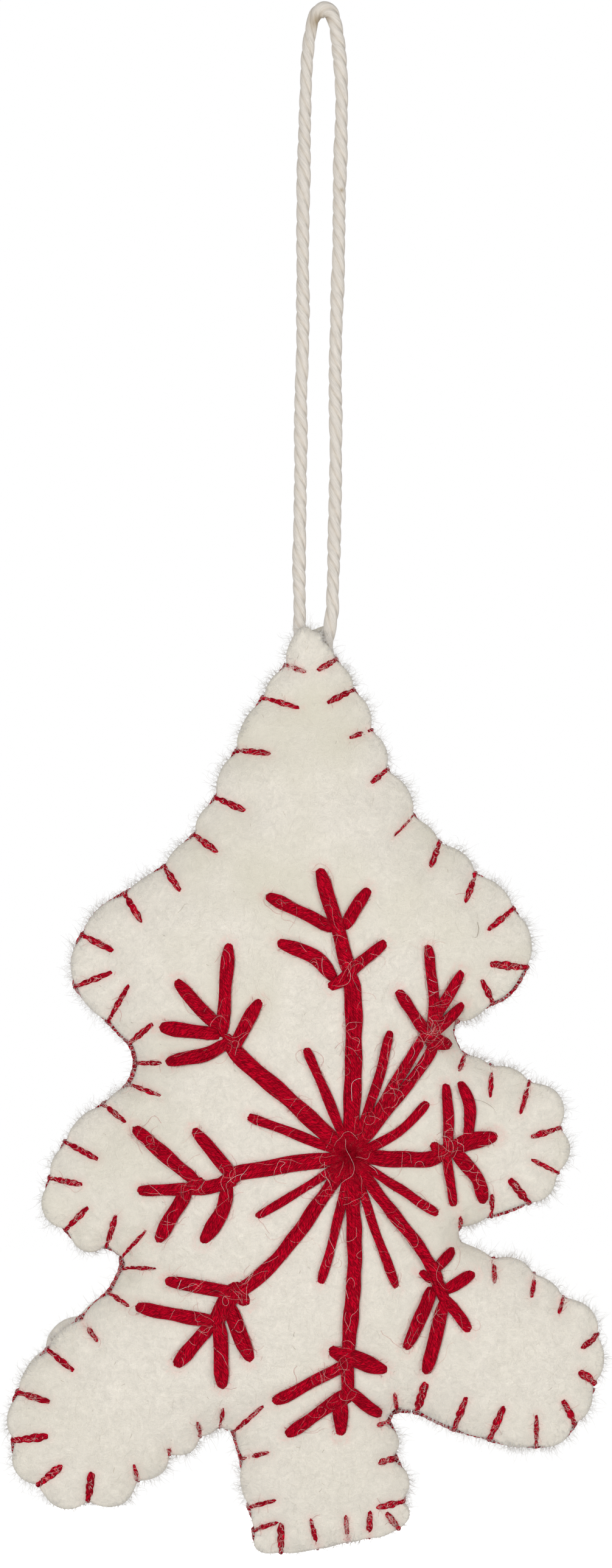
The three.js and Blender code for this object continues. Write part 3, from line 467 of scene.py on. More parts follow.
# A rope of strands round each other: how far a strand lies from the middle, how much flatter that
# circle is, and a strand's half width and half height, as shares of the rope's radius
ROPE_OFFSET_SHARE, ROPE_FLATNESS_SHARE = 0.48, 0.8
ROPE_WIDTH_SHARE, ROPE_HEIGHT_SHARE = 0.56, 0.52
ROPE_STRANDS, ROPE_SIDES = 3, 7
# A satin stitch: sides of its core and strands, the gap between strands as a share of a strand, and
# how far a strand strays to the side and up
CORE_SIDES, STRAND_SIDES = 12, 8
STRAND_GAP_SHARE = 0.7
STRAND_WANDER, STRAND_RISE = 0.07, 0.05
# The lengths of the waves in which it strays, shortest and longest
WANDER_LENGTHS, RISE_LENGTHS = (5, 11), (4, 8)
# The core's lift and height as shares of the stitch's height, and its margin as a share of a strand
CORE_LIFT_SHARE, CORE_HEIGHT_SHARE, CORE_MARGIN_SHARE = 0.2, 0.62, 0.35
# How much wider than the stitch the circle is that the strands lie on
DOME_MARGIN = 0.25
# What chance adds to a strand's height, its thickness as a share, and its darkness
STRAND_LIFTS, STRAND_THICKNESSES, STRAND_TONES = (-0.04, 0.06), (0.94, 1.1), (0, 0.45)

# The way out of the front
FRONT = (0.0, -1.0, 0.0)
# Distance over which the felt's slope is taken, and between the points of a leg and of a stitch's line
SLOPE_STEP, LEG_STEP, RIDE_STEP = 0.4, 0.8, 0.4
# A leg ends this near the edge of the face. Its line rises by these shares of its half width from its
# inner end to the edge, and sinks by more of them where the felt closes over it and at the inner end.
LEG_EDGE_GAP = 0.35
LEG_RISE = ((0.0, 0.4, 0.75, 1.0), (0.2, 0.25, -0.05, -0.2))
HIDDEN_DEPTH, LEG_END_DEPTH = 1.7, 2.2
# How much wider a leg is made than it shows, how uneven it is, and where its middle lies
LEG_WIDTH_SHARE, LEG_UNEVENNESS, LEG_MIDDLE_INSET = 1.1, 0.09, 3.0
# How a leg goes round the cut edge: inset, depth as a share of half the felts' thickness, and more
FRONT_TURN = ((0.55, -1, -0.75), (0.25, -0.55, 0))
HIDDEN_FRONT_TURN = ((1.1, -1.1, 0), (0.7, -0.55, 0))
BACK_TURN = ((0.3, 0, 0), (0.25, 0.55, 0), (0.55, 1, 0.75))
# The run along the seam: its inset, how much less that is where it shows, its step, thickness and pitch
RUN_INSET, RUN_OUT, RUN_STEP, RUN_WIDTH_SHARE, RUN_PITCH = 1.0, 0.62, 0.45, 0.92, 4.2
# A satin stitch's line: how often it is evened out, and how deep its ends sink
LEVEL_PASSES, FLOSS_END_DEPTH = 5, 0.75
# A stitch that starts this near the snowflake's centre fans out over a length, in a shadow's reach
FAN_REACH, FAN_LENGTH, SHADOW_REACH = 4, 5.0, 2.2
CORD_SIDES, CORD_STEP = 30, 0.2

# Loose hairs: where in a half wave their thickness starts and ends, and their random seed
HAIR_SIDES, HAIR_TAPER, HAIR_SEED = 3, (0.35, 0.9), 21
EDGE_HAIRS, FRONT_HAIRS, BACK_HAIRS = 5000, 4200, 2600
# Points of the edge to a tuft, points of a hair on the face, and pieces of fuzz on a leg
TUFT_POINTS, FACE_POINTS, LEG_FUZZ = 13, 6, 18
LONGEST_EDGE_HAIR, LONGEST_STRAY_HAIR = 3.2, 11.0
# Around the snowflake's centre, out to this distance, this share of the stray hairs is left out
CLEAR_REACH, CLEAR_SHARE = 7, 0.75
# Length of floss for each stray hair, stray hairs on a leg, and fuzz for each length of floss
FLOSS_TO_HAIR, LEG_STRAYS, FLOSS_FUZZ = 2.3, 3.0, 2.2
# Dark hairs: places tried and the most that are kept; points of a hair drawn as a route, and its step
DARK_TRIES, DARK_HAIRS, DRAWN_POINTS, DRAWN_STEP = 260, 80, 22, 0.05
# Each piece of loose hair: its fibre, its slot, and the radius of its thinnest and thickest hair
HAIR_KINDS = {
    "front_edge_hairs": ("felt_hair", "felt", 0.012, 0.024),
    "middle_edge_hairs": ("felt_hair", "felt", 0.012, 0.024),
    "back_edge_hairs": ("felt_hair", "felt", 0.012, 0.024),
    "front_hairs": ("matted_hair", "felt", 0.012, 0.022),
    "back_hairs": ("matted_hair", "felt", 0.012, 0.022),
    "stray_hairs": ("stray_hair", "felt", 0.018, 0.03),
    "caught_hairs": ("caught_hair", "felt", 0.016, 0.031),
    "thread_fuzz": ("red_fuzz", "thread", 0.012, 0.022),
    "dark_hairs": ("dark_hair", "felt", 0.015, 0.03),
    "pale_hairs": ("pale_hair", "felt", 0.022, 0.034),
    "dark_curls": ("dark_hair", "felt", 0.022, 0.034),
}

# What the lamps shine on, in metres, and how strongly the floor glows
LAMP_TARGET = (0, 0, -0.16)
FLOOR_GLOW = 0.68

NODE_SPACING = 180
# How far apart two strands read the same noise
STRAND_SHIFT = 31.0
# The dull patches begin this far below the origin, in metres, and are full after 1 / rise
PATCHES_FOOT, PATCHES_RISE = 0.26, 6.3
# Pink of the red lint beside the thread, which also paints a glow of red light from it
LINT_AND_GLOW_COLOUR = (0.70, 0.14, 0.15)
# Colour of the painted glints on the floss
PAINTED_GLINT_COLOUR = (0.75, 0.05, 0.09)
# Brownish colour of the painted shade in the cord's grooves
GROOVE_SHADE_COLOUR = (0.56, 0.47, 0.36)
STAIN_COLOUR = (0.25, 0.16, 0.05)
# Each kind of loose fibre: its darkest and its lightest hair
FIBRE_COLOURS = {
    "filling_fibre": ((0.8, 0.79, 0.76), (0.9, 0.89, 0.86)),
    "felt_hair": ((0.62, 0.6, 0.57), (0.88, 0.86, 0.83)),
    "matted_hair": ((0.78, 0.74, 0.66), (0.94, 0.9, 0.83)),
    "stray_hair": ((0.52, 0.12, 0.13), (0.88, 0.62, 0.56)),
    "caught_hair": ((0.78, 0.38, 0.36), (0.93, 0.82, 0.76)),
    "red_fuzz": ((0.36, 0.004, 0.014), (0.62, 0.05, 0.07)),
    "dark_hair": ((0.2, 0.14, 0.09), (0.5, 0.4, 0.28)),
    "pale_hair": ((0.86, 0.52, 0.49), (0.97, 0.9, 0.86)),
}


class FeltSettings(bpy.types.PropertyGroup):
    """Sizes and colour of the felt."""

    thickness: bpy.props.FloatProperty(
        name="Thickness", description="Thickness of the felt",
        default=0.0022, subtype="DISTANCE", unit="LENGTH"
    )
    seam_gap: bpy.props.FloatProperty(
        name="Seam gap", description="Gap between the two felts at the seam",
        default=0.0003, subtype="DISTANCE"
    )
    seam_inset: bpy.props.FloatProperty(
        name="Seam inset", description="Depth of the groove at the seam", default=0.0012, subtype="DISTANCE"
    )
    edge_rounding: bpy.props.FloatProperty(
        name="Edge rounding", description="How far in the cut edge is rounded",
        default=0.0018, subtype="DISTANCE"
    )
    pinch: bpy.props.FloatProperty(
        name="Pinch", description="How far the edge thread pulls the felt in",
        default=0.00075, subtype="DISTANCE"
    )
    spacing: bpy.props.FloatProperty(
        name="Spacing", description="Distance between the points of the felt's surface", default=0.0009,
        subtype="DISTANCE",
    )
    colour: bpy.props.FloatVectorProperty(
        name="Colour", description="Cream of the felt", default=(0.80, 0.755, 0.67), subtype="COLOR", size=3
    )


class ThreadSettings(bpy.types.PropertyGroup):
    """Sizes and colour of the red thread."""

    edge_width: bpy.props.FloatProperty(
        name="Edge thread", description="Width of the thread along the edge",
        default=0.0011, subtype="DISTANCE"
    )
    strand_width: bpy.props.FloatProperty(
        name="Strand width", description="Width of one strand of the thread",
        default=0.00043, subtype="DISTANCE"
    )
    ply_turn: bpy.props.FloatProperty(
        name="Ply turn", description="Length of one turn of a strand's two plies", default=0.0017,
        subtype="DISTANCE",
    )
    flatness: bpy.props.FloatProperty(
        name="Flatness", description="Height of a stitch as a share of its width",
        default=0.34, min=0.1, max=1.0
    )
    colour: bpy.props.FloatVectorProperty(
        name="Colour", description="Red of the thread",
        default=(0.45, 0.0010, 0.0155), subtype="COLOR", size=3
    )


class CordSettings(bpy.types.PropertyGroup):
    """Sizes and colour of the hanging cord."""

    diameter: bpy.props.FloatProperty(
        name="Diameter", description="Diameter of the cord", default=0.0021, subtype="DISTANCE"
    )
    twist: bpy.props.FloatProperty(
        name="Twist", description="Length of one turn of the strands", default=0.0093, subtype="DISTANCE"
    )
    colour: bpy.props.FloatVectorProperty(
        name="Colour", description="Off-white of the cord",
        default=(0.735, 0.685, 0.62), subtype="COLOR", size=3
    )


class StageSettings(bpy.types.PropertyGroup):
    """Distances and strengths of the camera, lamps and floor."""

    camera_distance: bpy.props.FloatProperty(
        name="Camera distance", description="From the camera to the tree", default=1.5, subtype="DISTANCE"
    )
    floor_height: bpy.props.FloatProperty(
        name="Floor height", description="Height of the floor", default=-0.33, subtype="DISTANCE"
    )
    key_power: bpy.props.FloatProperty(
        name="Key power", description="Power of the main lamp", default=6.0, subtype="POWER"
    )
    fill_power: bpy.props.FloatProperty(
        name="Fill power", description="Power of the side lamp", default=2.4, subtype="POWER"
    )
    back_power: bpy.props.FloatProperty(
        name="Back power", description="Power of the lamp behind", default=5.8, subtype="POWER"
    )
    sky_strength: bpy.props.FloatProperty(
        name="Sky strength", description="Strength of the even light all round", default=0.34, min=0.0
    )


# Places and curves


def place(column, row):
    """A pattern square as x and z in millimetres."""
    return np.array([(column - HANGING_COLUMN) * SQUARE, -LOOP_DROP - row * SQUARE])


def has_leg(row):
    """Whether a row of the outline is a stitch, and not only a point of the edge."""
    return len(row) > 4


def smooth_line(points, step):
    """Points along a smooth curve through the given ones, about a step apart."""
    points = np.asarray(points, float)
    if len(points) < 3:
        count = max(2, int(round(np.linalg.norm(points[1] - points[0]) / step)) + 1)
        return points[0] + (points[1] - points[0]) * np.linspace(0, 1, count)[:, None]
    padded = np.vstack([2 * points[0] - points[1], points, 2 * points[-1] - points[-2]])
    knots = np.concatenate([[0], np.cumsum(np.sqrt(np.linalg.norm(np.diff(padded, axis=0), axis=1)))])
    line = []
    for k in range(1, len(padded) - 2):
        p0, p1, p2, p3 = padded[k - 1:k + 3]
        t0, t1, t2, t3 = knots[k - 1:k + 3]
        for t in np.linspace(t1, t2, CURVE_STEPS, endpoint=False):
            a1 = (t1 - t) / (t1 - t0) * p0 + (t - t0) / (t1 - t0) * p1
            a2 = (t2 - t) / (t2 - t1) * p1 + (t - t1) / (t2 - t1) * p2
            a3 = (t3 - t) / (t3 - t2) * p2 + (t - t2) / (t3 - t2) * p3
            b1 = (t2 - t) / (t2 - t0) * a1 + (t - t0) / (t2 - t0) * a2
            b2 = (t3 - t) / (t3 - t1) * a2 + (t - t1) / (t3 - t1) * a3
            line.append((t2 - t) / (t2 - t1) * b1 + (t - t1) / (t2 - t1) * b2)
    line.append(points[-1])
    return evenly(np.array(line), step)


def travelled(line):
    """Distance along a line at each of its points."""
    return np.concatenate([[0], np.cumsum(np.linalg.norm(np.diff(line, axis=0), axis=1))])


def evenly(line, step):
    """The same line with its points evenly about a step apart."""
    lengths = travelled(line)
    count = max(2, int(round(lengths[-1] / step)) + 1)
    marks = np.linspace(0, lengths[-1], count)
    return np.stack([np.interp(marks, lengths, line[:, k]) for k in range(line.shape[1])], axis=1)


def outward_ways(polygon):
    """Outward direction at each point of a closed polygon that runs counterclockwise."""
    along = np.roll(polygon, -1, axis=0) - np.roll(polygon, 1, axis=0)
    along /= np.linalg.norm(along, axis=1)[:, None]
    return np.stack([along[:, 1], -along[:, 0]], axis=1)


def nearest_on_edge(points, polygon):
    """Distance from each point to a closed polygon, and the polygon's nearest corner."""
    ways = np.roll(polygon, -1, axis=0) - polygon
    lengths = (ways ** 2).sum(1)
    best = np.full(len(points), np.inf)
    nearest = np.zeros(len(points), int)
    for k in range(0, len(points), CHUNK):
        part = points[k:k + CHUNK]
        offset = part[:, None, :] - polygon[None]
        share = np.clip((offset * ways[None]).sum(2) / lengths, 0, 1)
        gap = np.linalg.norm(offset - share[:, :, None] * ways[None], axis=2)
        index = gap.argmin(1)
        best[k:k + CHUNK] = gap[np.arange(len(part)), index]
        nearest[k:k + CHUNK] = index
    return best, nearest


def is_inside(points, polygon):
    """Whether each point lies inside a closed polygon."""
    x, y = points[:, 0][:, None], points[:, 1][:, None]
    x0, y0 = polygon[:, 0][None], polygon[:, 1][None]
    x1, y1 = np.roll(polygon[:, 0], -1)[None], np.roll(polygon[:, 1], -1)[None]
    spans = (y0 > y) != (y1 > y)
    with np.errstate(divide="ignore", invalid="ignore"):
        cross = x < x0 + (x1 - x0) * (y - y0) / (y1 - y0)
    return (spans & cross).sum(1) % 2 == 1


def distance_to_lines(points, starts, ends):
    """For each point, the distance to every straight line, and how far along it the nearest place is."""
    ways = ends - starts
    lengths = np.maximum((ways ** 2).sum(1), TINY)
    offset = points[:, None, :] - starts[None]
    share = np.clip((offset * ways[None]).sum(2) / lengths, 0, 1)
    return np.linalg.norm(offset - share[:, :, None] * ways[None], axis=2), share


class TreeShape:
    """The tree's outline and the height of its felt, shared by the felt and by all that lies on it."""

    def __init__(self):
        self.rows = [(section, k, row) for section, rows in OUTLINE.items() for k, row in enumerate(rows)]
        self.plain_edge, self.foot_index, self.openness = self.sample_edge(EDGE_STEP)
        self.settings = bpy.context.scene.ornament_felt
        self.seam = self.settings.seam_gap / MM / 2
        self.half = self.seam + self.settings.thickness / MM / 2
        pinched = self.pinched_edge(self.plain_edge)
        self.rim = self.nudged(pinched, FRONT_NUDGES)
        self.rear_rim = self.nudged(pinched, BACK_NUDGES)
        self.crowns = {}
        legs = [entry for entry in self.rows if has_leg(entry[2])]
        self.leg_feet = np.array([place(row[0], row[1]) for _, _, row in legs])
        self.leg_ends = np.array([place(row[4], row[5]) for _, _, row in legs])
        self.leg_hairs = [LEG_HAIRS + HAIRY_LEGS.get((section, k), 0) for section, k, _ in legs]
        starts, stops, widths = [], [], []
        for stitches in SNOWFLAKE.values():
            for stitch in stitches:
                corners = [place(*square) for square in stitch[1:]]
                for a, b in zip(corners, corners[1:]):
                    starts.append(a)
                    stops.append(b)
                    widths.append(stitch[0])
        self.floss_starts, self.floss_stops = np.array(starts), np.array(stops)
        self.floss_widths = np.array(widths)
        self.centre = place(*SNOWFLAKE_CENTRE)

    def sample_edge(self, step):
        """The edge through the pattern's rows, where each row starts, and how far the thread shows there."""
        points, first, openness = [], {}, []
        for i, (section, k, row) in enumerate(self.rows):
            start, full = place(*row[:2]), place(*row[2:4])
            end = place(*self.rows[(i + 1) % len(self.rows)][2][:2])
            bend = 2 * full - (start + end) / 2
            length = np.linalg.norm(full - start) + np.linalg.norm(end - full)
            count = max(2, int(round(length / step)))
            first[(section, k)] = len(points)
            downward = start[1] > end[1]
            reach = (SHOWN_BELOW, SHOWN_ABOVE) if downward else (SHOWN_ABOVE, SHOWN_BELOW)
            sewn = section not in SECTIONS_WITHOUT_THREAD
            along = OPEN_RUNS.get(section, {}).get(k, 0.0)
            most = FOOT_OPENNESS.get(section, 1.0)
            for t in np.arange(count) / count:
                points.append((1 - t) ** 2 * start + 2 * t * (1 - t) * bend + t ** 2 * end)
                near = math.exp(-(t * length / reach[0]) ** 2) if has_leg(row) else 0.0
                far = math.exp(-((1 - t) * length / reach[1]) ** 2)
                openness.append(max(along, most * near, most * far) if sewn else 0.0)
        return np.array(points), first, np.array(openness)

    def pinched_edge(self, edge):
        """The edge with the felt pulled in wherever the thread lies open along it."""
        openness = self.openness.copy()
        for _ in range(OPENNESS_PASSES):
            openness = (np.roll(openness, 1) + openness * 2 + np.roll(openness, -1)) / 4
        return edge - outward_ways(edge) * (self.settings.pinch / MM * openness)[:, None]

    def fill_grid(self, polygon, rings, inset, step):
        """Points inside a polygon: the polygon, rings along it and an even field in its middle."""
        outward = outward_ways(polygon)
        parts = [polygon]
        for ring_inset in rings:
            ring = polygon - outward * ring_inset
            gap, _ = nearest_on_edge(ring, polygon)
            parts.append(ring[(gap > ring_inset * RING_ROOM_SHARE) & is_inside(ring, polygon)])
        low, high = polygon.min(0), polygon.max(0)
        columns = np.arange(low[0], high[0], step)
        field = []
        for i, z in enumerate(np.arange(low[1], high[1], step * math.sqrt(3) / 2)):
            shift = (i % 2) * step / 2
            field.append(np.stack([columns + shift, np.full(len(columns), z)], axis=1))
        field = np.vstack(field)
        field = field[is_inside(field, polygon)]
        gap, _ = nearest_on_edge(field, polygon)
        parts.append(field[gap > inset])
        return np.vstack(parts)

    def triangles(self, points, rim_count):
        """Triangles over the points, inside the rim."""
        vertices = [Vector(p) for p in points]
        result = delaunay_2d_cdt(vertices, [], [list(range(rim_count))], 1, SAME_POINT, True)
        back = [ids[0] if ids else -1 for ids in result[3]]
        faces = np.array([[back[k] for k in face] for face in result[2] if len(face) == 3])
        a, b, c = points[faces[:, 0]], points[faces[:, 1]], points[faces[:, 2]]
        u, v = b - a, c - a
        area = u[:, 0] * v[:, 1] - u[:, 1] * v[:, 0]
        faces[area < 0] = faces[area < 0][:, ::-1]
        return faces[(np.abs(area) > LEAST_AREA) & is_inside(points[faces].mean(1), points[:rim_count])]

    def crown(self, points, side):
        """How far the filling lifts the felt at each point, in millimetres."""
        heights = np.zeros(len(points))
        for i, (x, z) in enumerate(points):
            hit = self.crowns[side].ray_cast(Vector((x, side * RAY_START, z)), Vector((0, -side, 0)))
            heights[i] = abs(hit[0].y) if hit[0] else 0.0
        return heights

    def height(self, points, side):
        """Height of the felt's outer face over the seam's plane, in millimetres."""
        settings = self.settings
        points = np.asarray(points, float).reshape(-1, 2)
        edge = self.rim if side < 0 else self.rear_rim
        gap, _ = nearest_on_edge(points, edge)
        gap = np.where(is_inside(points, edge), gap, 0.0)
        thickness, rounding = settings.thickness / MM, settings.edge_rounding / MM
        inward = np.clip(gap / rounding, 0, 1)
        rise = np.sqrt(np.clip(1 - (1 - inward) ** 2, 0, 1))
        height = self.seam + thickness * (0.5 + 0.5 * rise)
        height = height + self.crown(points, side)
        away, share = distance_to_lines(points, self.leg_feet, self.leg_ends)
        strength = 1 - DENT_LOSS_SHARE * share
        dents = sum(depth * np.exp(-(away / reach) ** 2) for depth, reach in LEG_DENTS) * strength
        height = height - dents.max(1) * np.clip(gap / DENT_RUN, LEAST_DENT_SHARE, 1)
        if side < 0:
            away, _ = distance_to_lines(points, self.floss_starts, self.floss_stops)
            press = np.exp(-(away / (self.floss_widths * PRESS_WIDTH_SHARE)) ** 2)
            press = press * self.floss_widths * PRESS_DEPTH_SHARE
            height = height - press.max(1)
            middle = np.linalg.norm(points - self.centre, axis=1)
            for depth, reach in CENTRE_DENTS:
                height = height - depth * np.exp(-(middle / reach) ** 2)
        lumps = self.unevenness(points) * np.clip(gap / CROWN_RUN, 0, 1)
        return height + lumps + self.room_for_cord(points)

    def unevenness(self, points):
        """Small soft lumps of the filling, the same in each run."""
        chooser = np.random.default_rng(FILLING_SEED)
        total = np.zeros(len(points))
        for wave in FILLING_WAVES:
            angle, phase = chooser.uniform(0, 2 * math.pi, 2)
            along = points @ np.array([math.cos(angle), math.sin(angle)])
            across = points @ np.array([-math.sin(angle), math.cos(angle)])
            bent = 2 * math.pi * along / wave + phase + WAVE_BEND * np.sin(across / wave)
            total += WAVE_HEIGHT_SHARE * wave * np.sin(bent)
        return total

    def nudged(self, edge, nudges):
        """The edge moved out or in near single places."""
        outward = outward_ways(edge)
        moved = edge.copy()
        for spot, distance, radius in nudges:
            gap = np.linalg.norm(edge - place(*spot), axis=1)
            moved += outward * (distance * np.exp(-(gap / radius) ** 2))[:, None]
        return moved

    def room_for_cord(self, points):
        """How far the felt is lifted where it passes over the cord's hidden ends."""
        line = np.array(CORD_ROUTE)[:, [0, 2]] / MM
        count = HIDDEN_STRETCHES
        starts = np.vstack([line[:count], line[-count - 1:-1]])
        stops = np.vstack([line[1:count + 1], line[-count:]])
        away, _ = distance_to_lines(points, starts, stops)
        fade = np.clip((points[:, 1] - line[:, 1].min()) / CORD_RISE_RUN, 0, 1)
        return CORD_RISE * np.exp(-(away.min(1) / CORD_RISE_WIDTH) ** 2) * fade * fade * (3 - 2 * fade)


def mesh_object(name, vertices, faces):
    """A new object with this mesh, shaded smooth, its vertices given in millimetres."""
    mesh = bpy.data.meshes.new(name)
    corners = [tuple(int(k) for k in face) for face in faces]
    mesh.from_pydata((np.asarray(vertices, float) * MM).tolist(), [], corners)
    mesh.validate()
    mesh.polygons.foreach_set("use_smooth", np.ones(len(mesh.polygons), bool))
    mesh.update()
    obj = bpy.data.objects.new(name, mesh)
    bpy.context.scene.collection.objects.link(obj)
    return obj


def set_attribute(obj, name, values):
    """Stores a number or a vector for each vertex, for the materials to read."""
    values = np.asarray(values, np.float32)
    kind, key = ("FLOAT", "value") if values.ndim == 1 else ("FLOAT_VECTOR", "vector")
    attribute = obj.data.attributes.new(name, kind, "POINT")
    attribute.data.foreach_set(key, values.ravel())


def tube_ways(line, normals):
    """Directions across a tube and out of it, at each point of its line."""
    along = np.gradient(line, axis=0)
    along /= np.maximum(np.linalg.norm(along, axis=1), TINY)[:, None]
    normals = normals - (normals * along).sum(1)[:, None] * along
    normals /= np.maximum(np.linalg.norm(normals, axis=1), TINY)[:, None]
    return np.cross(normals, along), normals


def tube_faces(rings, sides):
    """Quads of a tube and the fans that close its two ends, whose middles follow the rings."""
    k = np.arange(sides)
    after = (k + 1) % sides
    starts = (np.arange(rings - 1) * sides)[:, None]
    quads = np.stack([starts + k, starts + after, starts + sides + after, starts + sides + k], axis=2)
    head, tail, last = rings * sides, rings * sides + 1, (rings - 1) * sides
    caps = np.vstack([
        np.stack([np.full(sides, head), after, k], axis=1),
        np.stack([np.full(sides, tail), last + k, last + after], axis=1),
    ])
    return quads.reshape(-1, 4), caps


def slow_wave(far, chooser, lengths):
    """A wave along a line, of a length between the two given and from a chance start."""
    return np.sin(2 * math.pi * (far / chooser.uniform(*lengths) + chooser.uniform(0, 1)))


class TubeSet:
    """Collects tubes into one mesh, with the marks along them that the thread's material reads."""

    def __init__(self):
        self.vertices, self.faces, self.grain, self.tone = [], [], [], []
        self.count = 0

    def add(self, line, normals, half_widths, half_heights, sides, tone):
        """Adds a tube with an oval section whose short way faces along the normals."""
        line = np.asarray(line, float)
        count = len(line)
        across, outward = tube_ways(line, np.asarray(normals, float))
        angles = np.arange(sides) * 2 * math.pi / sides
        wide = (half_widths[:, None] * np.cos(angles))[:, :, None] * across[:, None]
        tall = (half_heights[:, None] * np.sin(angles))[:, :, None] * outward[:, None]
        ring = line[:, None] + wide + tall
        vertices = np.vstack([ring.reshape(-1, 3), line[:1], line[-1:]])
        quads, caps = tube_faces(count, sides)
        self.faces += (quads + self.count).tolist() + (caps + self.count).tolist()
        self.vertices.append(vertices)
        far = travelled(line)
        grain = np.zeros((count, sides, 3))
        grain[:, :, 0], grain[:, :, 1], grain[:, :, 2] = np.cos(angles), np.sin(angles), far[:, None]
        self.grain.append(np.vstack([grain.reshape(-1, 3), [[0, 0, 0], [0, 0, far[-1]]]]))
        rings = np.repeat(np.broadcast_to(tone, count), sides)
        self.tone.append(np.concatenate([rings, rings[:1], rings[-1:]]))
        self.count += len(vertices)

    def add_rope(self, line, normals, radii, pitch, chooser):
        """Adds strands twisted round each other along a line, one turn for each pitch."""
        across, outward = tube_ways(line, normals)
        far = travelled(line)
        begin = chooser.uniform(0, 2 * math.pi)
        for k in range(ROPE_STRANDS):
            angle = begin + 2 * math.pi * (k / ROPE_STRANDS + far / pitch)
            upward = ROPE_FLATNESS_SHARE * np.sin(angle)[:, None] * outward
            offset = np.cos(angle)[:, None] * across + upward
            strand = line + offset * (radii * ROPE_OFFSET_SHARE)[:, None]
            half_width, half_height = radii * ROPE_WIDTH_SHARE, radii * ROPE_HEIGHT_SHARE
            self.add(strand, normals, half_width, half_height, ROPE_SIDES, chooser.uniform(0, 1))

    def add_bundle(self, line, normals, width, height, size, shadow, chooser):
        """Adds a satin stitch: strands side by side over a low core, drawn together at both ends."""
        thread = bpy.context.scene.ornament_thread
        strand = thread.strand_width / MM
        across, outward = tube_ways(line, normals)
        far = travelled(line)
        core = line + outward * (height * CORE_LIFT_SHARE * size)[:, None]
        core_width = (width / 2 - strand * CORE_MARGIN_SHARE) * size
        # The core carries a tone of 1, painted shade where it shows between the strands
        self.add(core, normals, core_width, height * CORE_HEIGHT_SHARE * size, CORE_SIDES, 1.0)
        count = max(3, int(round((width - strand) / (strand * STRAND_GAP_SHARE))) + 1)
        for k in chooser.permutation(count):
            place_across = (k / (count - 1) - 0.5) * (width - strand)
            dome = math.sqrt(1 - (2 * place_across / (width + DOME_MARGIN)) ** 2)
            wander = STRAND_WANDER * slow_wave(far, chooser, WANDER_LENGTHS)
            rise = STRAND_RISE * slow_wave(far, chooser, RISE_LENGTHS)
            up = height * dome * (0.45 + 0.55 * size) - strand * 0.3 + chooser.uniform(*STRAND_LIFTS) + rise
            own = line + across * ((place_across + wander) * size)[:, None] + outward * up[:, None]
            thick = strand / 2 * chooser.uniform(*STRAND_THICKNESSES) * (0.72 + 0.28 * size)
            # A strand's tone: darker at random, plus painted shade toward the stitch's sides and, through
            # shadow, near the snowflake's centre
            tone = chooser.uniform(*STRAND_TONES) + 0.5 * abs(2 * place_across / width) ** 2 + shadow
            self.add(own, normals, thick, thick * 0.92, STRAND_SIDES, tone)

    def build(self, name):
        """The tubes as one object, with the marks stored for the material."""
        obj = mesh_object(name, np.vstack(self.vertices), self.faces)
        set_attribute(obj, "grain", np.vstack(self.grain))
        set_attribute(obj, "tone", np.concatenate(self.tone))
        return obj


# Materials


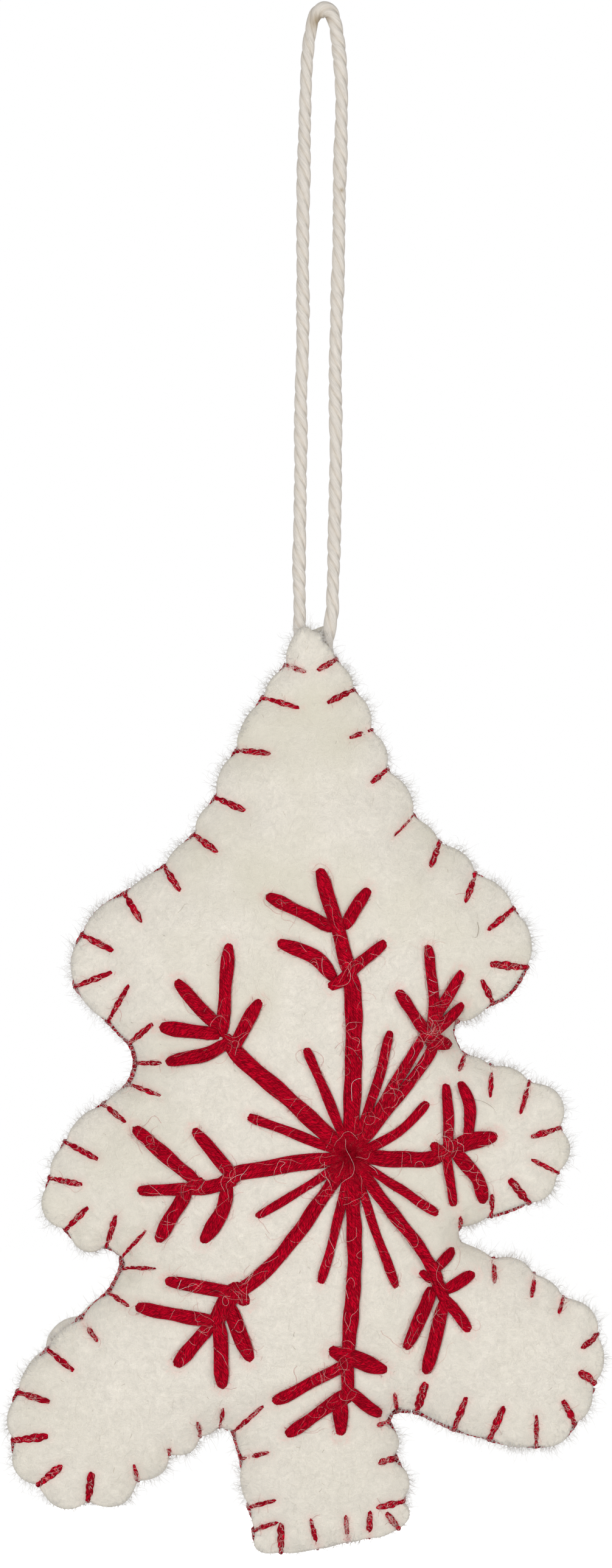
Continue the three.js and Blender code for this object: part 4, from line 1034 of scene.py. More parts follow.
class Finish:
    """A new material and short ways to add its nodes."""

    def __init__(self, name):
        self.material = bpy.data.materials.new(name)
        self.material.use_nodes = True
        self.tree = self.material.node_tree
        self.shader = self.tree.nodes["Principled BSDF"]
        self.place = 0

    def node(self, kind, **values):
        """A new node, to the left of the ones before it."""
        node = self.tree.nodes.new(kind)
        self.place -= NODE_SPACING
        node.location = (self.place, 0)
        for key, value in values.items():
            setattr(node, key, value)
        return node

    def link(self, output, socket):
        self.tree.links.new(output, socket)

    def put(self, value, socket):
        """Joins a socket to a node's output, or gives it a number or a colour."""
        if isinstance(value, bpy.types.NodeSocket):
            self.link(value, socket)
        elif isinstance(value, (int, float)):
            socket.default_value = value
        else:
            socket.default_value = (*value, 1.0)

    def attribute(self, name, output="Fac"):
        """A mark that the mesh carries at each point."""
        return self.node("ShaderNodeAttribute", attribute_name=name).outputs[output]

    def axis(self, vector, name):
        """One of a vector's three numbers."""
        node = self.node("ShaderNodeSeparateXYZ")
        self.link(vector, node.inputs["Vector"])
        return node.outputs[name]

    def scaled(self, vector, scale):
        """The same coordinates, scaled."""
        mapping = self.node("ShaderNodeMapping")
        mapping.inputs["Scale"].default_value = scale
        self.link(vector, mapping.inputs["Vector"])
        return mapping.outputs["Vector"]

    def noise(self, vector, scale=1.0, detail=2.0, roughness=0.5, distortion=0.0):
        """Noise between 0 and 1, with as many lumps for each unit as the scale says."""
        node = self.node("ShaderNodeTexNoise")
        values = {"Scale": scale, "Detail": detail, "Roughness": roughness, "Distortion": distortion}
        for name, value in values.items():
            node.inputs[name].default_value = value
        self.link(vector, node.inputs["Vector"])
        return node.outputs["Fac"]

    def ramp(self, factor, stops):
        """Colours between the stops' own, by the factor."""
        node = self.node("ShaderNodeValToRGB")
        elements = node.color_ramp.elements
        while len(elements) < len(stops):
            elements.new(0.5)
        for element, (position, colour) in zip(elements, stops):
            element.position = position
            element.color = (*colour, 1.0)
        self.link(factor, node.inputs["Fac"])
        return node.outputs["Color"]

    def mix(self, factor, first, second):
        """A mix of two colours, all of the second where the factor is 1."""
        node = self.node("ShaderNodeMix", data_type="RGBA")
        for name, value in (("Factor", factor), ("A", first), ("B", second)):
            self.put(value, node.inputs[name])
        return node.outputs["Result"]

    def math(self, operation, first, second):
        """A sum, product or the like of two numbers."""
        node = self.node("ShaderNodeMath", operation=operation)
        self.put(first, node.inputs[0])
        self.put(second, node.inputs[1])
        return node.outputs["Value"]

    def bump(self, height, distance, strength=1.0, after=None):
        """Fine relief, laid over an earlier one if there is one."""
        node = self.node("ShaderNodeBump")
        node.inputs["Distance"].default_value = distance
        node.inputs["Strength"].default_value = strength
        self.link(height, node.inputs["Height"])
        if after is not None:
            self.link(after, node.inputs["Normal"])
        return node.outputs["Normal"]

    def done(self, colour, values, relief=None):
        """The material, with its colour, the shader's other values by name and its relief."""
        self.put(colour, self.shader.inputs["Base Color"])
        for name, value in values.items():
            self.shader.inputs[name].default_value = value
        if relief is not None:
            self.link(relief, self.shader.inputs["Normal"])
        return self.material


def shade(colour, factor):
    """A colour made darker or lighter."""
    return tuple(min(1.0, channel * factor) for channel in colour)


def tint(colour, factors):
    """A colour with each of its channels changed by its own factor."""
    return tuple(channel * factor for channel, factor in zip(colour, factors))


def grey(level):
    return (level,) * 3


def felt_finish(name):
    """Cream wool felt: matted fibres, faint mottling, pink lint and a painted pink glow beside the red
    thread.
    """
    cream = tuple(bpy.context.scene.ornament_felt.colour)
    finish = Finish(name)
    spot = finish.node("ShaderNodeTexCoord").outputs["Object"]
    clouds = finish.noise(spot, 95, detail=3, roughness=0.55)
    base = finish.ramp(clouds, [
        (0.32, tint(cream, (0.97, 0.97, 0.92))), (0.5, cream), (0.68, shade(cream, 1.03)),
    ])
    mat = finish.noise(spot, 620, detail=8, roughness=0.7, distortion=1.2)
    matted = finish.ramp(mat, [(0.34, shade(cream, 0.83)), (0.5, cream), (0.66, shade(cream, 1.17))])
    colour = finish.mix(0.72, base, matted)
    fibres, crossed = [
        finish.noise(finish.scaled(spot, stretch), scale, detail=4, roughness=0.7, distortion=2.5)
        for stretch, scale in (((1, 1, 0.5), 2300), ((0.5, 1, 1), 2100))
    ]
    woven = finish.math("MAXIMUM", fibres, crossed)
    hairy = finish.ramp(woven, [(0.42, shade(cream, 0.83)), (0.58, cream), (0.72, shade(cream, 1.22))])
    colour = finish.mix(0.4, colour, hairy)
    # Dull patches, strongest at the tree's top and gone at its foot
    patches = finish.ramp(finish.noise(spot, 42, roughness=0.6), [(0.38, grey(1.0)), (0.56, grey(0.0))])
    over_foot = finish.math("ADD", finish.axis(spot, "Z"), PATCHES_FOOT)
    strength = finish.math("MULTIPLY", over_foot, PATCHES_RISE)
    dull = tint(cream, (0.9, 0.905, 0.85))
    colour = finish.mix(finish.math("MULTIPLY", patches, strength), colour, dull)
    # Pink beside the red thread: red lint, and a painted glow of red light that the thread throws onto the
    # felt
    spread = finish.ramp(mat, [(0.4, grey(0.0)), (0.62, grey(1.0))])
    lint_and_glow = finish.math("MULTIPLY", finish.attribute("lint_and_glow"), spread)
    colour = finish.mix(lint_and_glow, colour, LINT_AND_GLOW_COLOUR)
    coarse = finish.bump(mat, distance=0.5 * MM, strength=0.4)
    relief = finish.bump(woven, distance=0.3 * MM, strength=0.55, after=coarse)
    return finish.done(colour, {
        "Roughness": 0.95, "Specular IOR Level": 0.15, "Sheen Weight": 0.12, "Sheen Roughness": 0.5,
    }, relief)


def twisted_grain(finish, turn):
    """The place round and along a strand, turned back so that it stays the same along each ply."""
    grain = finish.attribute("grain", "Vector")
    back = finish.node("ShaderNodeVectorRotate", rotation_type="Z_AXIS")
    finish.link(grain, back.inputs["Vector"])
    angle = finish.math("MULTIPLY", finish.axis(grain, "Z"), 2 * math.pi / (turn / MM))
    finish.link(angle, back.inputs["Angle"])
    return back.outputs["Vector"]


def thread_finish(name):
    """Stranded red floss: two plies to a strand, fibres along each ply with painted shade between the plies,
    painted glints, painted patches of light and shade, painted shade by the tone mark, a soft shine.
    """
    thread = bpy.context.scene.ornament_thread
    red = tuple(thread.colour)
    finish = Finish(name)
    turned = twisted_grain(finish, thread.ply_turn)
    ply = finish.math("ABSOLUTE", finish.axis(turned, "X"), 0.0)
    tone = finish.attribute("tone")
    # Each strand reads the noises at a place of its own
    shift = finish.node("ShaderNodeVectorMath", operation="ADD")
    finish.link(turned, shift.inputs[0])
    finish.link(finish.math("MULTIPLY", tone, STRAND_SHIFT), shift.inputs[1])
    own = shift.outputs["Vector"]
    # Painted shade in the crease between the two plies, painted light on their crests
    colour = finish.ramp(ply, [(0.0, shade(red, 0.6)), (0.35, shade(red, 0.95)), (1.0, shade(red, 1.15))])
    fibres = finish.noise(finish.scaled(own, (4.0, 4.0, 0.9)), detail=4, roughness=0.65, distortion=0.3)
    streaks = finish.ramp(fibres, [(0.3, shade(red, 0.55)), (0.5, red), (0.72, shade(red, 1.6))])
    colour = finish.mix(0.45, colour, streaks)
    # Painted highlights: small bright glints along the plies
    glint_spots = finish.noise(finish.scaled(own, (5.0, 5.0, 2.6)), distortion=0.2)
    painted_glint = finish.ramp(glint_spots, [(0.58, grey(0)), (0.7, grey(1))])
    colour = finish.mix(finish.math("MULTIPLY", painted_glint, 0.5), colour, PAINTED_GLINT_COLOUR)
    # Painted light and shade: patches that make the floss much lighter and darker
    lights = finish.noise(finish.scaled(own, (1.6, 1.6, 0.75)), distortion=0.2)
    painted_light_and_shade = finish.ramp(lights, [(0.42, shade(red, 0.27)), (0.5, shade(red, 0.74)), (0.6, shade(red, 1.9))])
    colour = finish.mix(0.75, colour, painted_light_and_shade)
    # The tone mark darkens a strand at random, and as painted shade toward the stitch's sides, on the core
    # under the strands and near the snowflake's centre
    colour = finish.mix(finish.math("MULTIPLY", tone, 0.6), colour, shade(red, 0.5))
    plies = finish.bump(ply, distance=0.1 * MM, strength=0.8)
    relief = finish.bump(fibres, distance=0.1 * MM, strength=0.8, after=plies)
    return finish.done(colour, {"Roughness": 0.55, "Specular IOR Level": 0.025}, relief)


def cord_finish(name):
    """Off-white cotton cord: fine yarns along each strand, painted shade in the grooves, a few stains."""
    white = tuple(bpy.context.scene.ornament_cord.colour)
    finish = Finish(name)
    grain = finish.scaled(finish.attribute("grain", "Vector"), (4.2, 4.2, 0.55))
    yarns = finish.noise(grain, detail=5, roughness=0.62, distortion=0.5)
    colour = finish.ramp(yarns, [
        (0.32, shade(white, 0.8)), (0.46, shade(white, 0.98)), (0.7, shade(white, 1.1)),
    ])
    clouds = finish.noise(finish.node("ShaderNodeTexCoord").outputs["Object"], 260, detail=3)
    colour = finish.mix(finish.math("MULTIPLY", clouds, 0.2), colour, shade(white, 0.9))
    # Painted shade in the grooves between the strands
    groove = finish.math("MULTIPLY", finish.attribute("groove"), 0.42)
    colour = finish.mix(groove, colour, GROOVE_SHADE_COLOUR)
    blotch = finish.ramp(yarns, [(0.3, grey(0.95)), (0.7, grey(0.5))])
    colour = finish.mix(finish.math("MULTIPLY", finish.attribute("stain"), blotch), colour, STAIN_COLOUR)
    values = {"Roughness": 0.85, "Specular IOR Level": 0.25, "Sheen Weight": 0.2}
    return finish.done(colour, values, finish.bump(yarns, distance=0.26 * MM, strength=0.8))


def fibre_finish(name):
    """Loose fibre: each hair's colour lies between the darkest and the lightest of its kind."""
    dark, light = FIBRE_COLOURS[name]
    finish = Finish(name)
    colour = finish.ramp(finish.attribute("tone"), [(0.0, dark), (1.0, light)])
    return finish.done(colour, {"Roughness": 0.7, "Specular IOR Level": 0.3})


def dress(obj, material):
    """Gives a piece its only material."""
    obj.data.materials.clear()
    obj.data.materials.append(material)
    return obj


def material_once(name, maker):
    """The material of this name, made the first time it is asked for."""
    return bpy.data.materials.get(name) or maker(name)


# Felt


def cad_crown(shape, points, side):
    """The crown that the CAD felt has at each point, in millimetres."""
    node = frame["nodes"]["front_felt" if side < 0 else "back_felt"]
    tree = BVHTree.FromObject(node, bpy.context.evaluated_depsgraph_get())
    flat = shape.settings.seam_gap / 2 + shape.settings.thickness
    heights = np.zeros(len(points))
    for i, (x, z) in enumerate(points):
        hit = tree.ray_cast(Vector((x * MM, side * CAD_RAY_START, z * MM)), Vector((0, -side, 0)))
        if hit[0]:
            heights[i] = max(0.0, (abs(hit[0].y) - flat) / MM)
    return heights


def pillow(shape):
    """Blows up a closed pillow of the tree's outline with Cloth, held at its seam, as the filling does."""
    edge, _, _ = shape.sample_edge(CLOTH_EDGE_STEP)
    points = shape.fill_grid(edge, CLOTH_RINGS, CLOTH_FIELD_INSET, CLOTH_STEP)
    rim_count = len(edge)
    faces = shape.triangles(points, rim_count)
    inner = np.arange(rim_count, len(points))
    moved = np.arange(len(points))
    moved[inner] = np.arange(len(points), len(points) + len(inner))
    crowns = {side: smoothed(cad_crown(shape, points, side), faces, rim_count) for side in (-1, 1)}
    front = np.stack([points[:, 0], -crowns[-1], points[:, 1]], axis=1)
    back = np.stack([points[inner, 0], crowns[1][inner], points[inner, 1]], axis=1)
    start = np.vstack([front, back])
    all_faces = np.vstack([faces, moved[faces][:, ::-1]])
    ended = blown_up(start, all_faces, rim_count)
    for side, chosen in ((-1, faces), (1, moved[faces])):
        shape.crowns[side] = smooth_tree(ended, chosen)
    return ended, all_faces


def smoothed(heights, faces, rim_count):
    """Evens out the flat facets of the CAD solid."""
    pairs = np.vstack([faces[:, [0, 1]], faces[:, [1, 2]], faces[:, [2, 0]]])
    pairs = np.vstack([pairs, pairs[:, ::-1]])
    count = np.maximum(np.bincount(pairs[:, 0], minlength=len(heights)), 1)
    heights = heights.copy()
    heights[:rim_count] = 0.0
    for _ in range(SMOOTHING_PASSES):
        total = np.bincount(pairs[:, 0], weights=heights[pairs[:, 1]], minlength=len(heights))
        heights[rim_count:] = 0.5 * heights[rim_count:] + 0.5 * (total / count)[rim_count:]
    return heights


def blown_up(start, faces, rim_count):
    """The pillow after a short Cloth simulation, in which no point moves further than a limit."""
    obj = mesh_object("pillow_cloth", start * CLOTH_ENLARGED, faces)
    group = obj.vertex_groups.new(name="seam")
    group.add(list(range(rim_count)), 1.0, "REPLACE")
    cloth = obj.modifiers.new("cloth", "CLOTH")
    for name, value in CLOTH_SETTINGS.items():
        setattr(cloth.settings, name, value)
    cloth.settings.vertex_group_mass = group.name
    cloth.settings.effector_weights.gravity = 0
    cloth.point_cache.frame_start = 1
    cloth.point_cache.frame_end = CLOTH_FRAMES
    scene = bpy.context.scene
    for step in range(1, CLOTH_FRAMES + 1):
        scene.frame_set(step)
    evaluated = obj.evaluated_get(bpy.context.evaluated_depsgraph_get()).to_mesh()
    ended = np.zeros(len(start) * 3)
    evaluated.vertices.foreach_get("co", ended)
    ended = ended.reshape(-1, 3) / MM / CLOTH_ENLARGED
    scene.frame_set(1)
    bpy.data.objects.remove(obj, do_unlink=True)
    move = ended - start
    length = np.linalg.norm(move, axis=1)
    move *= np.minimum(1, CLOTH_LIMIT / np.maximum(length, TINY))[:, None]
    return start + move


def smooth_tree(vertices, faces):
    """A finely subdivided copy of a surface, to read heights from."""
    used, compact = np.unique(faces, return_inverse=True)
    obj = mesh_object("crown_reader", vertices[used], compact.reshape(-1, 3))
    subdivision = obj.modifiers.new("fine", "SUBSURF")
    subdivision.levels = 2
    subdivision.boundary_smooth = "PRESERVE_CORNERS"
    mesh = obj.evaluated_get(bpy.context.evaluated_depsgraph_get()).to_mesh()
    points = [vertex.co / MM for vertex in mesh.vertices]
    polygons = [tuple(polygon.vertices) for polygon in mesh.polygons]
    tree = BVHTree.FromPolygons(points, polygons)
    bpy.data.objects.remove(obj, do_unlink=True)
    return tree


def felt_panel(shape, name, side):
    """One felt: outer face, rounded cut edge and inner face, closed."""
    rim = shape.rim if side < 0 else shape.rear_rim
    points = shape.fill_grid(rim, FELT_RINGS, FELT_FIELD_INSET, shape.settings.spacing / MM)
    rim_count = len(rim)
    faces = shape.triangles(points, rim_count)
    outer_height = shape.height(points, side)
    outward = outward_ways(rim)
    gap, nearest = nearest_on_edge(points, rim)
    seam, half, inset = shape.seam, shape.half, shape.settings.seam_inset / MM
    outer = np.stack([points[:, 0], outer_height, points[:, 1]], axis=1)
    room = shape.room_for_cord(points)
    outer[:rim_count, 1] = half + room[:rim_count]
    inward = np.clip(1 - gap / (SEAM_RUN_SHARE * inset), 0, 1) * inset
    shifted = points - outward[nearest] * inward[:, None]
    lift_inside = shape.crown(points, side) * np.clip(gap / CROWN_RUN, 0, 1)
    inner_height = np.minimum(seam + lift_inside + room, outer_height - LEAST_THICKNESS)
    inner = np.stack([shifted[:, 0], np.maximum(inner_height, seam), shifted[:, 1]], axis=1)
    inner[:rim_count, 1] = seam + room[:rim_count]
    rounds = []
    for share, low in EDGE_ROUNDING:
        ring = rim - outward * inset * share
        level = room[:rim_count] + seam + (half - seam) * low
        rounds.append(np.stack([ring[:, 0], level, ring[:, 1]], axis=1))
    vertices = np.vstack([outer, inner, *rounds])
    vertices[:, 1] *= side
    count = len(points)
    top = faces if side < 0 else faces[:, ::-1]
    bottom = top[:, ::-1] + count
    on_rim = np.arange(rim_count)
    rims = [on_rim] + [2 * count + k * rim_count + on_rim for k in range(len(rounds))] + [count + on_rim]
    walls = []
    for upper, lower in zip(rims, rims[1:]):
        wall = np.stack([upper, lower, np.roll(lower, -1), np.roll(upper, -1)], axis=1)
        walls.append(wall if side < 0 else wall[:, ::-1])
    obj = mesh_object(name, vertices, top.tolist() + bottom.tolist() + np.vstack(walls).tolist())
    # Red lint and a painted glow of red light beside the thread, none on the inner face
    lint_and_glow = felt_lint_and_glow(shape, vertices[:, [0, 2]], side)
    lint_and_glow[count:2 * count] = 0
    set_attribute(obj, "lint_and_glow", lint_and_glow)
    return obj


def felt_lint_and_glow(shape, places, side):
    """How much red lint and painted red glow lie on the felt at each place: most beside the thread."""
    lint_and_glow = np.zeros(len(places))
    for k in range(0, len(places), CHUNK):
        part = places[k:k + CHUNK]
        away, _ = distance_to_lines(part, shape.leg_feet, shape.leg_ends)
        most, reach = LEG_LINT_AND_GLOW
        amount = most * np.exp(-(away.min(1) / reach) ** 2)
        if side < 0:
            away, _ = distance_to_lines(part, shape.floss_starts, shape.floss_stops)
            beside = np.maximum((away - shape.floss_widths * 0.5).min(1), 0)
            most, reach = FLOSS_LINT_AND_GLOW
            amount = np.maximum(amount, most * np.exp(-(beside / reach) ** 2))
        lint_and_glow[k:k + CHUNK] = amount
    return lint_and_glow


def soft_filling(shape, vertices, faces):
    """The filling: the pillow made flatter and drawn in from its edge."""
    gap, nearest = nearest_on_edge(vertices[:, [0, 2]], shape.plain_edge)
    drawn = FILLING_DRAWN_IN * np.clip(1 - gap / FILLING_RUN, 0, 1)
    shift = outward_ways(shape.plain_edge)[nearest] * drawn[:, None]
    core = vertices.copy()
    core[:, 0] -= shift[:, 0]
    core[:, 1] *= FILLING_FLATNESS_SHARE
    core[:, 2] -= shift[:, 1]
    filling = mesh_object("soft_filling", core, faces)
    set_attribute(filling, "tone", np.full(len(core), 0.5))
    return filling


# The outline's shape and the pillow, once they are made
SHAPE = {}


def tree_shape():
    """The outline's shape, made once and shared by all the operators."""
    if "tree" not in SHAPE:
        SHAPE["tree"] = TreeShape()
        SHAPE["pillow"] = pillow(SHAPE["tree"])
    return SHAPE["tree"]


class ORNAMENT_OT_felt(bpy.types.Operator):
    """Makes the two felt panels and the filling between them"""

    bl_idname = "ornament.felt"
    bl_label = "Felt panels"

    def execute(self, context):
        shape = tree_shape()
        felt = material_once("wool_felt", felt_finish)
        for name, node, side in (("front_panel", "front_felt", -1), ("back_panel", "back_felt", 1)):
            panel = dress(felt_panel(shape, name, side), felt)
            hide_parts(node)
            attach(panel, "tree")
        filling = soft_filling(shape, *SHAPE["pillow"])
        dress(filling, material_once("filling_fibre", fibre_finish))
        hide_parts("filling")
        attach(filling, "tree")
        return {"FINISHED"}


# Threads


def lift(shape, places, side):
    """Places on the felt's outer face as points in space, in millimetres."""
    height = shape.height(places, side)
    return np.stack([places[:, 0], side * height, places[:, 1]], axis=1)


def surface_ways(shape, places, side):
    """Direction straight out of the felt at each place."""
    step = SLOPE_STEP
    right = shape.height(places + [step, 0], side) - shape.height(places - [step, 0], side)
    up = shape.height(places + [0, step], side) - shape.height(places - [0, step], side)
    normals = np.stack([-right / (2 * step), np.full(len(places), 1.0), -up / (2 * step)], axis=1)
    normals[:, 1] *= side
    return normals / np.linalg.norm(normals, axis=1)[:, None]


def leg_line(shape, row, side, radius, hidden):
    """A leg's line on one side: up out of the felt at its inner end and along to the edge."""
    foot, end = place(row[0], row[1]), place(row[4], row[5])
    count = max(4, int(np.linalg.norm(foot - end) / LEG_STEP))
    shares = np.linspace(0, 1, count)[:, None]
    places = end + (foot - end) * shares
    gap, _ = nearest_on_edge(places, shape.rim)
    inside = is_inside(places, shape.rim) & (gap > LEG_EDGE_GAP)
    places = places[inside] if inside.sum() > 1 else places[:2]
    points = lift(shape, places, side)
    rise = np.interp(np.linspace(0, 1, len(places)), *LEG_RISE)
    if hidden is not None:
        start, stop = hidden
        marks = (start - 0.08, start + 0.04, stop - 0.04, stop + 0.08)
        along = np.linalg.norm(places - end, axis=1) / np.linalg.norm(foot - end)
        rise = rise - HIDDEN_DEPTH * np.interp(along, marks, (0, 1, 1, 0))
    points[:, 1] += side * radius * rise
    first = points[0] + (points[0] - points[1]) * 0.5
    first[1] = points[0][1] - side * radius * LEG_END_DEPTH
    return np.vstack([first, points])


def add_run(tubes, shape, marks, outward, radius, chooser):
    """Adds the thread's run along the seam, further out where it shows along the edge."""
    inset = RUN_INSET - RUN_OUT * shape.openness[marks]
    run = shape.plain_edge[marks] - outward[marks] * inset[:, None]
    line = smooth_line(np.stack([run[:, 0], np.zeros(len(run)), run[:, 1]], axis=1)[::2], RUN_STEP)
    normals = np.tile(FRONT, (len(line), 1))
    tubes.add_rope(line, normals, np.full(len(line), radius * RUN_WIDTH_SHARE), RUN_PITCH, chooser)


def add_leg(tubes, shape, row, way, hidden, radius, chooser):
    """Adds a stitch's leg, from the front round the cut edge to the back."""
    shown = row[6] / 2 * LEG_WIDTH_SHARE
    foot = place(row[0], row[1])
    front = leg_line(shape, row, -1, shown, hidden)
    back = leg_line(shape, row, 1, shown, None)[::-1]
    closed_over = hidden is not None and hidden[1] == 1.0
    around = []
    for inset, share, more in (HIDDEN_FRONT_TURN if closed_over else FRONT_TURN) + BACK_TURN:
        spot = foot - way * inset
        around.append((spot[0], shape.half * share + more, spot[1]))
    whole = smooth_line(np.vstack([front, around, back]), RIDE_STEP)
    inner = foot - way * LEG_MIDDLE_INSET
    out = whole - [inner[0], 0, inner[1]]
    far = travelled(whole)
    share = 1 - np.abs(2 * far / far[-1] - 1)
    wide = np.interp(share, *LEG_SPINDLE) * shown
    least = radius * np.clip((share - 0.8) / 0.2, 0.5, 0.9)
    wide = np.where(share > 0.86, np.maximum(wide, least), wide)
    wide *= 1 + LEG_UNEVENNESS * np.sin(far * chooser.uniform(1.5, 2.6) + chooser.uniform(0, 6))
    tubes.add_rope(whole, out, wide, chooser.uniform(4, 6), chooser)


def edge_tubes(shape, section):
    """The thread of one stretch of the edge: its run along the seam and its legs round the edge."""
    radius = bpy.context.scene.ornament_thread.edge_width / MM / 2
    rows = [(k, row) for s, k, row in shape.rows if s == section]
    keys = [(s, k) for s, k, _ in shape.rows]
    outward = outward_ways(shape.plain_edge)
    tubes = TubeSet()
    chooser = np.random.default_rng(number_of(section))
    first = shape.foot_index[(section, rows[0][0])]
    after = keys[(keys.index((section, rows[-1][0])) + 1) % len(keys)]
    marks = np.arange(first, (shape.foot_index[after] or len(outward)) + 1) % len(outward)
    add_run(tubes, shape, marks, outward, radius, chooser)
    for k, row in rows:
        if has_leg(row):
            way = outward[shape.foot_index[(section, k)]]
            add_leg(tubes, shape, row, way, HIDDEN_LEGS.get((section, k)), radius, chooser)
    return tubes


def number_of(name):
    """A number that stands for a name, the same in each run."""
    total = 7
    for letter in name:
        total = (total * 31 + ord(letter)) % 100003
    return total


class ORNAMENT_OT_edge_stitches(bpy.types.Operator):
    """Sews the blanket stitch round the edge, one piece for each stretch"""

    bl_idname = "ornament.edge_stitches"
    bl_label = "Edge stitches"

    def execute(self, context):
        shape = tree_shape()
        red = material_once("red_floss", thread_finish)
        for section in OUTLINE:
            if section in SECTIONS_WITHOUT_THREAD:
                continue
            piece = dress(edge_tubes(shape, section).build(f"edge_thread_{section}"), red)
            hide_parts(f"edge_stitching_{section}")
            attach(piece, "tree")
        return {"FINISHED"}


def floss_line(shape, stitch, layer):
    """A stitch's line on the front felt, sunk at both ends."""
    width = stitch[0]
    places = smooth_line(np.array([place(*square) for square in stitch[1:]]), RIDE_STEP)
    points = lift(shape, places, -1)
    far = travelled(points)
    near = np.minimum(far, far[-1] - far)
    rise = np.sqrt(np.clip(near / (width * 0.55), 0, 1))
    level = points[:, 1].copy()
    for _ in range(LEVEL_PASSES):
        level[1:-1] = (level[:-2] + level[1:-1] * 2 + level[2:]) / 4
    points[:, 1] = level + (1 - rise) * FLOSS_END_DEPTH - layer
    return points, places


def add_stitch(tubes, shape, stitch, number, chooser):
    """Adds one satin stitch, fanned together and with painted shade near the snowflake's centre."""
    width = stitch[0]
    layer = chooser.uniform(0, 0.3) if number == 0 else 0.12 + 0.06 * (number % 3)
    line, places = floss_line(shape, stitch, layer)
    normals = surface_ways(shape, places, -1)
    far = travelled(line)
    from_centre = np.linalg.norm(places - shape.centre, axis=1)
    fan = FAN_LENGTH if from_centre[0] < FAN_REACH else width * 0.9
    left = np.clip(far / fan, 0, 1)
    right = np.clip((far[-1] - far) / (width * 1.2), 0, 1)
    size = np.minimum(0.4 + 0.6 * left ** 0.6, 0.2 + 0.8 * right ** 0.5)
    size *= 1 + 0.04 * np.sin(far / 2.1 + chooser.uniform(0, 6))
    shadow = 0.9 * np.exp(-(from_centre / SHADOW_REACH) ** 2)
    height = width * bpy.context.scene.ornament_thread.flatness
    tubes.add_bundle(line, normals, width, height, size, shadow, chooser)


class ORNAMENT_OT_snowflake(bpy.types.Operator):
    """Embroiders the snowflake on the front felt, arm by arm"""

    bl_idname = "ornament.snowflake"
    bl_label = "Snowflake"

    def execute(self, context):
        shape = tree_shape()
        red = material_once("red_floss", thread_finish)
        for node, stitches in SNOWFLAKE.items():
            chooser = np.random.default_rng(number_of(node))
            tubes = TubeSet()
            for number, stitch in enumerate(stitches):
                add_stitch(tubes, shape, stitch, number, chooser)
            piece = dress(tubes.build(f"{node}_floss"), red)
            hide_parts(node)
            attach(piece, "tree")
        return {"FINISHED"}


# Cord


def cord_swell(line, far):
    """How thick the cord is along its line, as a share of its usual thickness."""
    swell = 1 + 0.04 * np.sin(far / 3.1) + 0.03 * np.sin(far / 1.7 + 1)
    along, shares = np.array(CORD_SWELLS).T
    swell *= np.interp(far, far[np.argmax(line[:, 2])] + along, shares)
    swell[3:-3] = np.convolve(swell, np.full(7, 1 / 7), "valid")
    return swell


def cord_piece(line, diameter, twist):
    """Three strands twisted together along a line, with the marks that the cord's material reads."""
    across, outward = tube_ways(line, np.tile(FRONT, (len(line), 1)))
    far = travelled(line)
    angles = np.arange(CORD_SIDES) * 2 * math.pi / CORD_SIDES
    lobes = np.abs(np.cos(1.5 * angles))
    reach = diameter / 2 * (1.04 - 0.25 * (1 - lobes) ** 1.6)
    turn = -2 * math.pi * far / twist + 0.3 * np.sin(far / 4.3) + 0.22 * np.sin(far / 2.3 + 1)
    spin = (angles[None] + turn[:, None])[:, :, None]
    ways = np.cos(spin) * across[:, None] + np.sin(spin) * outward[:, None]
    ring = line[:, None] + reach[None, :, None] * cord_swell(line, far)[:, None, None] * ways
    count = len(line)
    vertices = np.vstack([ring.reshape(-1, 3), line[:1], line[-1:]])
    quads, caps = tube_faces(count, CORD_SIDES)
    cord = mesh_object("hanging_cord", vertices, quads.tolist() + caps.tolist())
    grain = np.zeros((count, CORD_SIDES, 3))
    grain[:, :, 0], grain[:, :, 1] = np.cos(angles) * reach, np.sin(angles) * reach
    grain[:, :, 2] = far[:, None]
    set_attribute(cord, "grain", np.vstack([grain.reshape(-1, 3), np.zeros((2, 3))]))
    # How deep in a groove between the strands each point lies, for the painted shade there
    set_attribute(cord, "groove", np.append(np.tile((1 - lobes) ** 2.5, count), [0, 0]))
    stains = []
    for x, z, size, strength in CORD_STAINS:
        away = (vertices[:, 0] - x) ** 2 + (vertices[:, 2] - z) ** 2
        stains.append(strength * np.exp(-away / size ** 2))
    set_attribute(cord, "stain", np.max(stains, axis=0))
    return cord


class ORNAMENT_OT_cord(bpy.types.Operator):
    """Twists the hanging cord from three strands along its route"""

    bl_idname = "ornament.cord"
    bl_label = "Hanging cord"

    def execute(self, context):
        settings = context.scene.ornament_cord
        line = smooth_line(np.array(CORD_ROUTE) / MM, CORD_STEP)
        cord = cord_piece(line, settings.diameter / MM, settings.twist / MM)
        dress(cord, material_once("cotton_cord", cord_finish))
        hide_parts("hanging_loop", "loop_tail_left", "loop_tail_right")
        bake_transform(cord)
        return {"FINISHED"}


# Fibres


